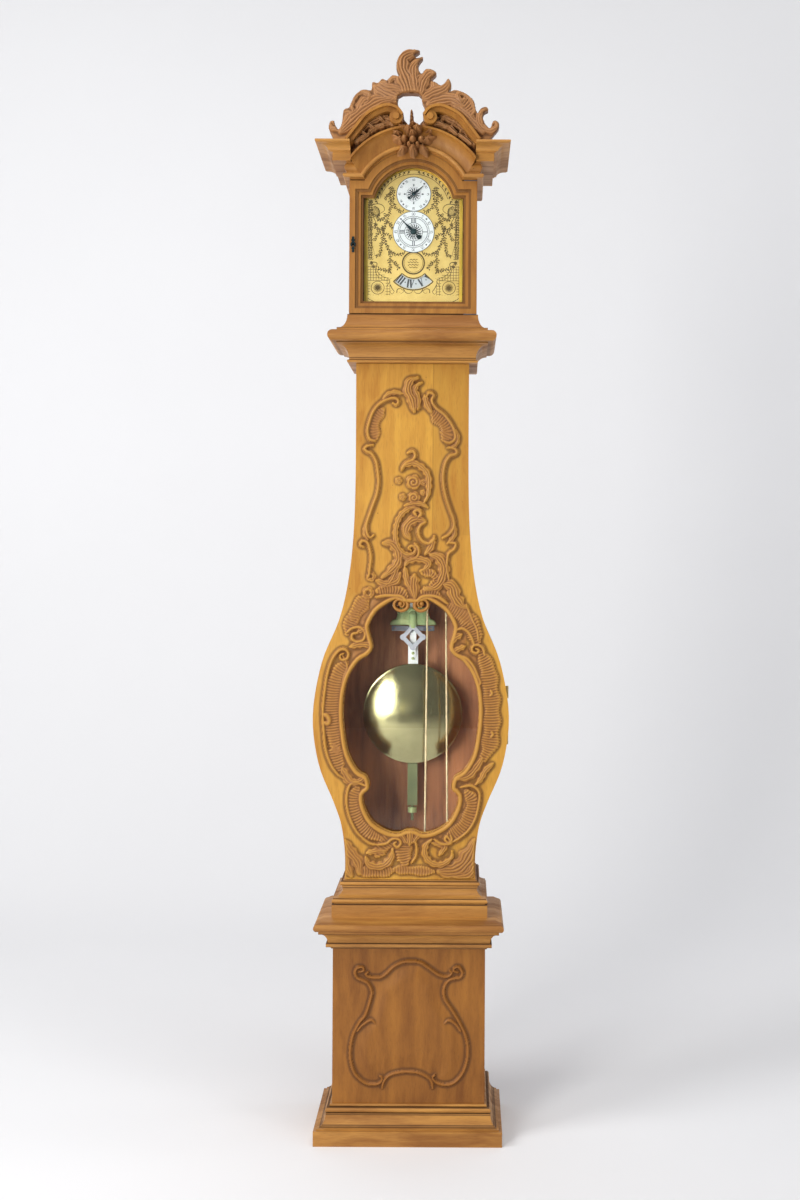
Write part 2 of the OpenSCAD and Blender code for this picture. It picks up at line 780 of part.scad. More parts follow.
module hood_lock() {
  x0 = -hood_w / 2 + hood_t + 1.5;
  color(steel) difference() {
    box(x0, x0 + 14, hood_door_back, hood_door_back + 10, hood_bolt_z - 13, hood_bolt_z + 13);
    box(x0 - 1, x0 + 12.5, hood_bolt_y - lift_gap, hood_bolt_y + 4 + lift_gap,
        hood_bolt_z - hood_bolt_h / 2 - lift_gap, hood_bolt_z + hood_bolt_h / 2 + lift_gap);
  }
}

module hood_bolt() {
  x0 = -hood_w / 2 + hood_t + 1.5;
  color(brass) box(x0 + 0.2, x0 + 12, hood_bolt_y, hood_bolt_y + 4, hood_bolt_z - hood_bolt_h / 2, hood_bolt_z + hood_bolt_h / 2);
}

// Dial

dial_z0 = hood_z + 54.7;

module dial_outline(grow) {
  arched(dial_half + grow, dial_z0 - grow, arch_z + 27.7 + grow, dial_arch_r + grow);
}

// Sector window over the hour disc
module hour_window() {
  difference() {
    circle(hour_r - 3, $fn = 96);
    circle(hour_r - 23, $fn = 96);
    rotate(-45) translate([-span, 0]) square([2 * span, span]);
    rotate(45) translate([-span, 0]) square([2 * span, span]);
  }
}

module dial_plate() {
  color(brass) difference() {
    plate(dial_y, dial_y + dial_t) dial_outline(0);
    set_flat(0, hour_z, dial_y - 1, dial_y + 3, 0) hour_window();
    rod(0, minute_z, dial_y - 1, dial_y + 3, 5);
    rod(0, seconds_z, dial_y - 1, dial_y + 3, 2.6);
  }
}

module dial_bezel() {
  color(brass) difference() {
    plate(dial_y - 6.5, dial_y) dial_outline(0);
    plate(dial_y - 2.2, dial_y + 1) dial_outline(-6.5);
    plate(dial_y - 4.4, dial_y - 2.1) dial_outline(-4.5);
    plate(dial_y - 8, dial_y - 4.3) dial_outline(-2.5);
  }
}

module dial_ring(z, r, bore) {
  color(silver) difference() {
    rod(0, z, dial_y - 1.2, dial_y, r);
    rod(0, z, dial_y - 2, dial_y + 1, bore);
  }
}

module seconds_ring() { dial_ring(seconds_z, seconds_r, 2.6); }

module minute_ring() { dial_ring(minute_z, minute_r, 5); }

motion_m = 0.8;
hour_teeth = 96;
stud_r = 2.5;
hour_wheel_y = front_plate_y - 8;
idler_x = 12.46;
idler_z = hour_z + 39.69;
idler_angle = atan2(39.69, 12.46);
cannon_angle = atan2(60.2 - 39.69, -12.46);

module hour_disc() {
  color(silver) difference() {
    union() {
      rod(0, hour_z, dial_y + 2.3, dial_y + 3.5, hour_r);
      rod(0, hour_z, dial_y + 3, hour_wheel_y + 2.5, 5);
      set_flat(0, hour_z, hour_wheel_y, hour_wheel_y + 2.5, idler_angle) wheel(hour_teeth, motion_m, 7, 5);
    }
    rod(0, hour_z, dial_y, hour_wheel_y + 3, stud_r + run_gap);
  }
}

// Straight tapering hand with a tail, pointing along its own Y axis
module hand_shape(length, width, tail, tail_r) {
  polygon([[-width / 2, 0], [width / 2, 0], [0.35, length], [-0.35, length]]);
  polygon([[-0.5, 0], [0.5, 0], [0.8, -tail], [-0.8, -tail]]);
  translate([0, -tail]) circle(tail_r, $fn = 24);
  circle(width * 0.9, $fn = 32);
}

escape_arbor_r = 1.2;
centre_arbor_r = 2.5;
pipe_r = 3.4;

module seconds_hand() {
  y1 = dial_y - 3;
  color(blued) difference() {
    union() {
      set_flat(0, seconds_z, y1 - 1, y1, -50) hand_shape(24, 4.4, 12, 2.6);
      rod(0, seconds_z, y1 - 1, dial_y - 0.5, 2);
    }
    rod(0, seconds_z, y1 - 2, dial_y + 1, escape_arbor_r + run_gap);
  }
}

module minute_hand() {
  y1 = dial_y - 3.4;
  color(blued) difference() {
    union() {
      set_flat(0, minute_z, y1 - 1.2, y1, 46) hand_shape(33, 6, 15, 4.5);
      rod(0, minute_z, y1 - 1.2, y1, 5.4);
    }
    rod(0, minute_z, y1 - 2, y1 + 1, pipe_r + 0.02);
  }
}

// Pipe that carries the minute hand, with its wheel in front of the movement
module cannon_wheel() {
  color(brass) difference() {
    union() {
      rod(0, minute_z, dial_y - 5, front_plate_y - 5, pipe_r);
      set_flat(0, minute_z, front_plate_y - 5.5, front_plate_y - 3, cannon_angle + 180 + 6) toothed(30, motion_m);
    }
    rod(0, minute_z, dial_y - 6, front_plate_y, centre_arbor_r + run_gap);
  }
}

module minute_wheel() {
  color(brass) difference() {
    union() {
      set_flat(idler_x, idler_z, front_plate_y - 5.5, front_plate_y - 3, cannon_angle) toothed(30, motion_m);
      set_flat(idler_x, idler_z, front_plate_y - 9, front_plate_y - 5.5, idler_angle + 180 + 22.5) toothed(8, motion_m);
    }
    rod(idler_x, idler_z, front_plate_y - 10, front_plate_y, 1.5 + run_gap);
  }
}

// Movement

plate_half = 48;
plate_z0 = seat_z + seat_t;
plate_crown_z = seconds_z + 3;
third_x = 3.83;
third_z = minute_z + 37.97;
train_m = 1.06;
great_m = 2 * 74.2 / (great_teeth + pinion_leaves);
barrel_arbor_r = 5;
third_arbor_r = 1.5;
pallet_arbor_r = 2;
pillar_spots = [[43, plate_z0 + 6], [36, seconds_z + 6]];
foot_spots = [[42, plate_z0 + 28], [33, seconds_z + 28]];

module plate_outline() {
  translate([-plate_half, plate_z0]) square([2 * plate_half, plate_crown_z - plate_z0]);
  translate([0, plate_crown_z]) circle(plate_half, $fn = 96);
}

// Pivot holes of every arbor of the train
module pivot_holes(y0, y1) {
  rod(0, barrel_z, y0, y1, barrel_arbor_r + run_gap);
  rod(0, minute_z, y0, y1, centre_arbor_r + run_gap);
  rod(third_x, third_z, y0, y1, third_arbor_r + run_gap);
  rod(0, seconds_z, y0, y1, escape_arbor_r + run_gap);
  rod(0, pallet_z, y0, y1, pallet_arbor_r + run_gap);
}

module movement_plates() {
  color(brass) difference() {
    union() {
      plate(front_plate_y, gap_y) plate_outline();
      plate(back_plate_y, back_plate_y + plate_t) plate_outline();
    }
    pivot_holes(front_plate_y - 1, back_plate_y + plate_t + 1);
  }
}

module plate_pillars() {
  color(brass) {
    for (s = [-1, 1]) for (p = pillar_spots) translate([s * p[0], gap_y, p[1]]) rotate([-90, 0, 0])
      rotate_extrude($fn = 48) polygon([[0, 0], [5, 0], [5, 4], [3.4, 8], [3.2, plate_gap / 2 - 4],
        [4.4, plate_gap / 2], [3.2, plate_gap / 2 + 4], [3.4, plate_gap - 8], [5, plate_gap - 4],
        [5, plate_gap], [0, plate_gap]]);
    for (s = [-1, 1]) for (p = foot_spots) rod(s * p[0], p[1], dial_y + dial_t, front_plate_y, 2.5);
    rod(0, hour_z, dial_y + 2, front_plate_y, stud_r);
    rod(idler_x, idler_z, front_plate_y - 9.5, front_plate_y, 1.5);
  }
}

third_angle = atan2(37.97, 3.83);
escape_angle = atan2(seconds_z - third_z, -third_x);
escape_phase = 11.3;

// Escape wheel with undercut teeth that lean the way it turns
module escape_outline() {
  root_r = escape_r - 4.5;
  step = 360 / escape_teeth;
  difference() {
    polygon([for (i = [0 : escape_teeth - 1]) for (q = [[root_r, 1.2], [escape_r, 0], [escape_r, 0.6], [root_r, 3.6]])
      q[0] * [cos(escape_phase + i * step + q[1]), sin(escape_phase + i * step + q[1])]]);
    difference() {
      circle(root_r - 2.5, $fn = 64);
      circle(5, $fn = 32);
      square([2 * escape_r, 2.4], center = true);
      square([2.4, 2 * escape_r], center = true);
    }
  }
}

module train_wheels() {
  great_y = gap_y + 2.5;
  color(brass) {
    difference() {
      set_flat(0, barrel_z, great_y, great_y + 3, 90) wheel(great_teeth, great_m, 20, 9);
      rod(0, barrel_z, great_y - 1, great_y + 4, barrel_arbor_r + run_gap);
    }
    rod(0, minute_z, dial_y - 6.3, back_plate_y + plate_t, centre_arbor_r);
    set_flat(0, minute_z, great_y - 1, great_y + 4.5, -90 + 22.5) toothed(pinion_leaves, great_m);
    set_flat(0, minute_z, gap_y + 30, gap_y + 32.5, third_angle) wheel(centre_teeth, train_m, 7, 4);
    rod(third_x, third_z, front_plate_y, back_plate_y + plate_t, third_arbor_r);
    set_flat(third_x, third_z, gap_y + 28, gap_y + 34.5, third_angle + 180 + 22.5) toothed(pinion_leaves, train_m);
    set_flat(third_x, third_z, gap_y + 13, gap_y + 15.5, escape_angle) wheel(third_teeth, train_m, 6, 3.5);
    rod(0, seconds_z, dial_y - 4.3, back_plate_y + plate_t, escape_arbor_r);
    set_flat(0, seconds_z, gap_y + 11, gap_y + 17.5, escape_angle + 180 + 22.5) toothed(pinion_leaves, train_m);
    set_flat(0, seconds_z, gap_y + 23, gap_y + 25, 0) escape_outline();
  }
}

drum_y0 = gap_y + 6;
drum_y1 = back_plate_y - 4;
groove_step = cord_d + 0.1;

module barrel() {
  length = drum_y1 - drum_y0;
  color(brass) {
    translate([0, drum_y0, barrel_z]) rotate([-90, 0, 0]) rotate_extrude($fn = 96) difference() {
      union() {
        square([winding_r - 1, length]);
        square([winding_r + 2.2, 1.5]);
        translate([0, length - 1.5]) square([winding_r + 2.2, 1.5]);
      }
      for (k = [-3 : 3]) translate([winding_r, cord_y - drum_y0 + k * groove_step]) circle(cord_d / 2 + 0.1, $fn = 32);
    }
    rod(0, barrel_z, front_plate_y - 1, back_plate_y + plate_t + 2, barrel_arbor_r);
  }
}

cock_y = back_plate_y + plate_t;

module back_cock() {
  color(brass) difference() {
    union() {
      for (s = [-1, 1]) box(s * 24 - 5, s * 24 + 5, cock_y, cock_y + 12, pallet_z - 8, pallet_z + 8);
      box(-29, 29, cock_y + 8, cock_y + 12, pallet_z - 8, pallet_z + 16);
      box(-7, 7, cock_y + 12, rod_y + 8, pallet_z + 6, pallet_z + 16);
    }
    rod(0, pallet_z, cock_y - 1, cock_y + 13, pallet_arbor_r + run_gap);
    box(-1.4, 1.4, rod_y - 6.5, rod_y + 6.5, pallet_z + 5, pallet_z + 17);
  }
}

nib_r = escape_r;
nib_t = 1.5;
crutch_l = 150;

// Pallet arm, drawn from its arbor: a bar outwards and a thin nib bent down to the wheel
module pallet_arm() {
  polygon([[0, -3], [nib_r + nib_t / 2, -3.5], [nib_r + nib_t / 2, 0.5], [0, 4]]);
  difference() {
    circle(nib_r + nib_t / 2, $fn = 96);
    circle(nib_r - nib_t / 2, $fn = 96);
    translate([-span, -3]) square([2 * span, span]);
    rotate(-45) translate([-span, -span]) square([2 * span, span]);
    translate([-span, -span]) square([span, 2 * span]);
  }
}

module anchor() {
  fork_y = cock_y + 14;
  color(steel) {
    rod(0, pallet_z, front_plate_y, fork_y + 2, pallet_arbor_r);
    rod(0, pallet_z, gap_y + 21, gap_y + 27, 5);
    set_flat(0, pallet_z, gap_y + 22, gap_y + 26, 0) {
      pallet_arm();
      mirror([1, 0]) pallet_arm();
    }
    plate(fork_y, fork_y + 3) translate([-2.5, pallet_z - crutch_l]) square([5, crutch_l]);
    rod(0, pallet_z, fork_y, fork_y + 3, 5);
    for (s = [-1, 1]) box(s * (rod_w / 2 + 1.9) - 1.5, s * (rod_w / 2 + 1.9) + 1.5, fork_y, rod_y + 5,
                          pallet_z - crutch_l - 4, pallet_z - crutch_l + 2);
    box(-rod_w / 2 - 3.4, rod_w / 2 + 3.4, fork_y, fork_y + 3, pallet_z - crutch_l - 4, pallet_z - crutch_l + 2);
  }
}

// Pendulum

rod_w = 13;
rod_t = 5;
yoke_z = bob_z + 177.3;
strip_w = 20;
strip_t = 3;
strip_z = bob_z + 137;
tail_z = bob_z - 186;

module suspension_spring() {
  color(steel) {
    box(-0.25, 0.25, rod_y - 5, rod_y + 5, pallet_z - 16, pallet_z + 9);
    for (s = [-1, 1]) box(s * 0.25 - (s < 0 ? 3 : 0), s * 0.25 + (s > 0 ? 3 : 0), rod_y - 6, rod_y + 6,
                          pallet_z - 20, pallet_z - 10);
  }
}

module pendulum_rod() {
  color(steel) {
    difference() {
      box(-rod_w / 2, rod_w / 2, rod_y - rod_t / 2, rod_y + rod_t / 2, strip_z - 22, pallet_z - 20);
      for (k = [0, 1]) rod(0, strip_z - 7 - 9 * k, rod_y - 4, rod_y + 4, 2);
    }
    box(-strip_w / 2, strip_w / 2, rod_y + rod_t / 2, rod_y + rod_t / 2 + strip_t, tail_z, strip_z);
    for (k = [0, 1]) rod(0, strip_z - 7 - 9 * k, rod_y - rod_t / 2 - 1.4, rod_y + rod_t / 2, 1.95);
    translate([0, rod_y + rod_t / 2 + strip_t / 2, tail_z - 30]) cylinder(h = 30.2, r = 3, $fn = 32);
  }
}

// Bell-shaped bridle over the rod, half outline from the top down to its foot
yoke_half = [[0, 36], [7, 36], [12, 33], [17, 26], [24, 20], [34, 15], [42, 8], [45, 0], [36, 0],
             [31, 6], [22, 10], [12, 12], [0, 13]];

module yoke() {
  curve = smooth(yoke_half, 3);
  color(brass) {
    plate(rod_y - rod_t / 2 - 3, rod_y - rod_t / 2) translate([0, yoke_z]) polygon(concat(curve, mirrored(curve)));
    plate(rod_y - rod_t / 2 - 3, rod_y - rod_t / 2) translate([0, yoke_z])
      translate([-3.8, -4]) square([7.6, 20]);
  }
}

module bimetal_bar() {
  color(steel) difference() {
    box(-43, 43, rod_y - rod_t / 2 - 9.5, rod_y - rod_t / 2 - 3, yoke_z - 10, yoke_z);
    for (s = [-1, 1]) rod(s * 36, yoke_z - 5, rod_y - 20, rod_y, 1.6);
  }
}

// Four-bar link that joins the bar to the lower rod
module lozenge() {
  outer = [[0, 5], [25.5, -22.5], [0, -49], [-25.5, -22.5]];
  y0 = rod_y - rod_t / 2 - 12;
  color(steel) {
    plate(y0, y0 + 2.5) translate([0, yoke_z]) difference() {
      polygon(outer);
      offset(delta = -8) polygon(outer);
    }
    for (p = [[0, -1], [20, -22.5], [0, -43], [-20, -22.5]]) rod(p[0], yoke_z + p[1], y0, y0 + 2.5, 6);
  }
}

module bob() {
  half = bob_t / 2;
  rim = 3;
  dome_r = (bob_r * bob_r + (half - rim) * (half - rim)) / (2 * (half - rim));
  color(brass) difference() {
    translate([0, rod_y, bob_z]) intersection() {
      rotate([90, 0, 0]) cylinder(h = bob_t + 2, r = bob_r, center = true, $fn = 120);
      translate([0, dome_r - half, 0]) sphere(dome_r, $fn = 160);
      translate([0, half - dome_r, 0]) sphere(dome_r, $fn = 160);
    }
    box(-strip_w / 2 - 0.3, strip_w / 2 + 0.3, rod_y + rod_t / 2 - 0.3, rod_y + rod_t / 2 + strip_t + 0.3,
        bob_z - bob_r - 10, bob_z + bob_r + 10);
  }
}

module rating_nut() {
  color(brass) difference() {
    translate([0, rod_y + rod_t / 2 + strip_t / 2, tail_z - 14]) cylinder(h = 10, r = 9, $fn = 24);
    translate([0, rod_y + rod_t / 2 + strip_t / 2, tail_z - 15]) cylinder(h = 12, r = 3 + run_gap, $fn = 32);
  }
}

// Drive

strand_top = seat_z - 4;

// Straight run of cord between two points at the cord's level
module run(x0, z0, x1, z1) {
  lean = atan2(x1 - x0, z1 - z0);
  length = norm([x1 - x0, z1 - z0]);
  intersection() {
    translate([x0, cord_y, z0]) rotate([0, lean, 0]) translate([0, 0, -1])
      cylinder(h = length + 2, r = cord_d / 2, $fn = 24);
    box(-span, span, -span, span, z0, z1);
  }
}

module weight_cord() {
  color(cord_colour) {
    run(pulley_x - pulley_r, pulley_z, winding_r, strand_top);
    run(pulley_x + pulley_r, pulley_z, anchor_x, strand_top);
  }
}

module barrel_cord() {
  color(cord_colour) {
    run(winding_r, strand_top, winding_r, barrel_z);
    translate([0, cord_y, barrel_z]) rotate([90, 0, 0]) rotate_extrude(angle = 300, $fn = 64)
      translate([winding_r, 0]) circle(cord_d / 2, $fn = 24);
    run(anchor_x, strand_top, anchor_x, seat_z + seat_t);
    translate([anchor_x, cord_y, seat_z + seat_t + 3.8]) sphere(4, $fn = 32);
  }
}

module cord_loop() {
  color(cord_colour) intersection() {
    translate([pulley_x, cord_y, pulley_z]) rotate([90, 0, 0]) rotate_extrude($fn = 64)
      translate([pulley_r, 0]) circle(cord_d / 2, $fn = 24);
    box(-span, span, -span, span, pulley_z - 60, pulley_z);
  }
}

axle_r = 2;

module pulley() {
  color(brass) translate([pulley_x, cord_y, pulley_z]) rotate([90, 0, 0]) rotate_extrude($fn = 64) difference() {
    translate([axle_r + run_gap, -4.5]) square([pulley_r + 2 - axle_r - run_gap, 9]);
    translate([pulley_r, 0]) circle(cord_d / 2 + 0.2, $fn = 32);
    translate([pulley_r, -cord_d / 2 - 0.2]) square([10, cord_d + 0.4]);
  }
}

weight_top = pulley_z - 48;

module pulley_stirrup() {
  color(steel) {
    for (s = [-1, 1]) box(pulley_x - 6, pulley_x + 6, cord_y + s * 6.3 - 1.3, cord_y + s * 6.3 + 1.3,
                          pulley_z - 34, pulley_z + 8);
    box(pulley_x - 6, pulley_x + 6, cord_y - 7.6, cord_y + 7.6, pulley_z - 36, pulley_z - 31);
    rod(pulley_x, pulley_z, cord_y - 8.5, cord_y + 8.5, axle_r);
    translate([pulley_x, cord_y, weight_top]) cylinder(h = pulley_z - 36 - weight_top + 1, r = 3, $fn = 24);
  }
}

module weight() {
  color(brass) translate([pulley_x, cord_y, weight_top - weight_h]) rotate_extrude($fn = 72)
    polygon([[0, 0], [weight_r - 2, 0], [weight_r, 2], [weight_r, weight_h - 10], [weight_r - 2, weight_h - 7],
             [weight_r - 9, weight_h - 5], [6, weight_h - 3], [6, weight_h], [0, weight_h]]);
}

plinth_moulding();
base_front();
base_sides();
base_cornice();
waist_foot();
back_board();
waist_sides();
waist_rails();
throat_moulding();
seat_board();
hinge_plates();
waist_door();
waist_glass();
waist_hinge_leaves();
waist_lock();
waist_bolt();
hood_base();
hood_sides();
hood_roof();
hood_head();
hood_bead();
hood_frieze();
hood_cornice();
swan_necks();
crest();
pediment_flowers();
hood_door();
hood_glass();
hood_straps();
hood_escutcheon();
hood_lock();
hood_bolt();
dial_plate();
dial_bezel();
seconds_ring();
minute_ring();
hour_disc();
seconds_hand();
minute_hand();
cannon_wheel();
minute_wheel();
movement_plates();
plate_pillars();
train_wheels();
barrel();
back_cock();
anchor();
suspension_spring();
pendulum_rod();
yoke();
bimetal_bar();
lozenge();
bob();
rating_nut();
weight_cord();
barrel_cord();
cord_loop();
pulley();
pulley_stirrup();
weight();
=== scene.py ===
import math

import bpy
import numpy as np
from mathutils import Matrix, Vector


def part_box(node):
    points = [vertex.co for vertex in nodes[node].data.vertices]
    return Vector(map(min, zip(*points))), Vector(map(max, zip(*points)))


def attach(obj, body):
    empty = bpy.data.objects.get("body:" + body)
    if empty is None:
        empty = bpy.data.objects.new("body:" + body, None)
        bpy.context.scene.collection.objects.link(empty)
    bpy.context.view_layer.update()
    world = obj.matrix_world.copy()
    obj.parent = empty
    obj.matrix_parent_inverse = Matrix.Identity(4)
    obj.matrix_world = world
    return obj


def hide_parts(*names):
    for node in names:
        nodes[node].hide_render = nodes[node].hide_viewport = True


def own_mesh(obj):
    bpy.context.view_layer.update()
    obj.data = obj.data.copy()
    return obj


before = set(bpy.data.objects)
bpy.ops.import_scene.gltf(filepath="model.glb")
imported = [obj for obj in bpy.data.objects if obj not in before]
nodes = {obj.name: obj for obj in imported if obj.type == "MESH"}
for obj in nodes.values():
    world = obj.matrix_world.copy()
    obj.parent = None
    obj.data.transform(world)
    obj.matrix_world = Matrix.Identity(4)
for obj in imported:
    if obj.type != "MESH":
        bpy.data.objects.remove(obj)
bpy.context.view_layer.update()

MM = 0.001

# Centres on the dial: X and Z in millimetres
SECONDS = (0, 1832)
MINUTES = (0, 1758.2)
HOURS = (0, 1698)
CARTOUCHE = (0, 1697.5)
ARCH = (0, 1801.3)
CORNER_ROSE = (-69.7, 1648.9)


# Small tools for meshes

def place_object(name, data):
    thing = bpy.data.objects.new(name, data)
    bpy.context.scene.collection.objects.link(thing)
    return thing


def smooth_mesh(name, verts, faces, material):
    """New smooth mesh from vertices and faces in metres."""
    mesh = bpy.data.meshes.new(name)
    mesh.from_pydata([tuple(v) for v in verts], [], [tuple(f) for f in faces])
    mesh.polygons.foreach_set("use_smooth", [True] * len(mesh.polygons))
    mesh.materials.append(material)
    return place_object(name, mesh)


def add_mesh(name, verts, faces, material, body):
    """New piece that rides on a body of the case."""
    piece = smooth_mesh(name, verts, faces, material)
    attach(piece, body)
    return piece


def mark(piece, label, values):
    """Gives each vertex a value that the piece's material reads."""
    layer = piece.data.attributes.new(label, "FLOAT", "POINT")
    layer.data.foreach_set("value", values.astype(np.float32))


def add_carved(name, parts, body, material):
    """Several closed pieces of one carving in one mesh."""
    verts, faces = [], []
    for v, f in parts:
        faces += [tuple(i + len(verts) for i in q) for q in f]
        verts += v
    piece = add_mesh(name, verts, faces, material, body)
    mark(piece, "relief", np.full(len(verts), 0.55))
    mark(piece, "patina", np.full(len(verts), 0.8))
    return piece


def quads(rows, turns, first=0):
    """Faces between rows of vertices, where each row is a closed ring."""
    faces = []
    for i in range(rows - 1):
        for k in range(turns):
            a, b = first + turns * i + k, first + turns * i + (k + 1) % turns
            faces.append((a, b, b + turns, a + turns))
    return faces


def dense(points, step):
    """Points of a smooth curve through the given ones, about one step apart."""
    p = np.array(points, float)
    p = np.vstack([2 * p[0] - p[1], p, 2 * p[-1] - p[-2]])
    out = []
    for a, b, c, d in zip(p, p[1:], p[2:], p[3:]):
        t = np.arange(max(1, math.ceil(np.linalg.norm(c - b) / step)))[:, None]
        t = t / len(t)
        out.append(0.5 * (2 * b + (c - a) * t + (2 * a - 5 * b + 4 * c - d) * t ** 2
                          + (3 * b - a - 3 * c + d) * t ** 3))
    return np.vstack(out + [p[-2:-1]])


def directions(line):
    """Unit direction of a line at each of its points."""
    d = np.gradient(line, axis=0)
    return d / np.maximum(np.linalg.norm(d, axis=1), 1e-9)[:, None]


def distances(line):
    """Distance along a line to each of its points."""
    return np.concatenate([[0], np.cumsum(np.linalg.norm(np.diff(line, axis=0), axis=1))])


def polar(centre, r, turn):
    """Point at a distance from a centre, turned clockwise from the top by that many degrees."""
    a = math.radians(turn)
    return centre[0] + r * math.sin(a), centre[1] + r * math.cos(a)


def smoothstep(x):
    x = np.clip(x, 0, 1)
    return x * x * (3 - 2 * x)


def blur(field, reach):
    """Box blur, twice in each direction."""
    for axis in (0, 1, 0, 1):
        pad = [(reach + 1, reach) if k == axis else (0, 0) for k in (0, 1)]
        total = np.cumsum(np.pad(field, pad, mode="edge"), axis=axis)
        n = field.shape[axis]
        high = np.take(total, np.arange(2 * reach + 1, n + 2 * reach + 1), axis=axis)
        field = (high - np.take(total, np.arange(n), axis=axis)) / (2 * reach + 1)
    return field


def face_loops(node, y):
    """Closed outlines of a board's flat face at that Y, the longest first, in millimetres."""
    mesh = nodes[node].data
    co = np.array([v.co for v in mesh.vertices]) / MM
    after = {}
    mesh.calc_loop_triangles()
    for tri in mesh.loop_triangles:
        p = co[list(tri.vertices)]
        if np.abs(p[:, 1] - y / MM).max() > 0.01:
            continue
        keys = [tuple(np.round(q[[0, 2]], 3)) for q in p]
        for a, b in zip(keys, keys[1:] + keys[:1]):
            if after.get(b) and a in after[b]:
                after[b].remove(a)
            else:
                after.setdefault(a, []).append(b)
    loops = []
    while any(after.values()):
        start = next(k for k in after if after[k])
        loop = [start]
        while after.get(loop[-1]):
            loop.append(after[loop[-1]].pop())
            if loop[-1] == start:
                break
        loops.append(np.array(loop))
    return sorted(loops, key=lambda q: -np.abs(np.diff(q, axis=0)).sum())


def inset(x, z, loop):
    """Distance of points to a closed outline in millimetres, positive inside it."""
    best = np.full(x.shape, 1e9)
    inside = np.zeros(x.shape, bool)
    for (ax, az), (bx, bz) in zip(loop[:-1], loop[1:]):
        dx, dz = bx - ax, bz - az
        t = np.clip(((x - ax) * dx + (z - az) * dz) / max(dx * dx + dz * dz, 1e-9), 0, 1)
        best = np.minimum(best, np.hypot(x - ax - t * dx, z - az - t * dz))
        if (az > bz) != (az < bz) and az != bz:
            inside ^= ((az > z) != (bz > z)) & (x < ax + (z - az) * dx / dz)
    return np.where(inside, best, -best)


# Carving

def ground(away):
    """Height of the face beside a cut: a thin film that meets the cut a little proud and falls away from it, and
    carries painted shade with dark wax along the foot of the cut.
    """
    return 0.16 - 0.016 * away


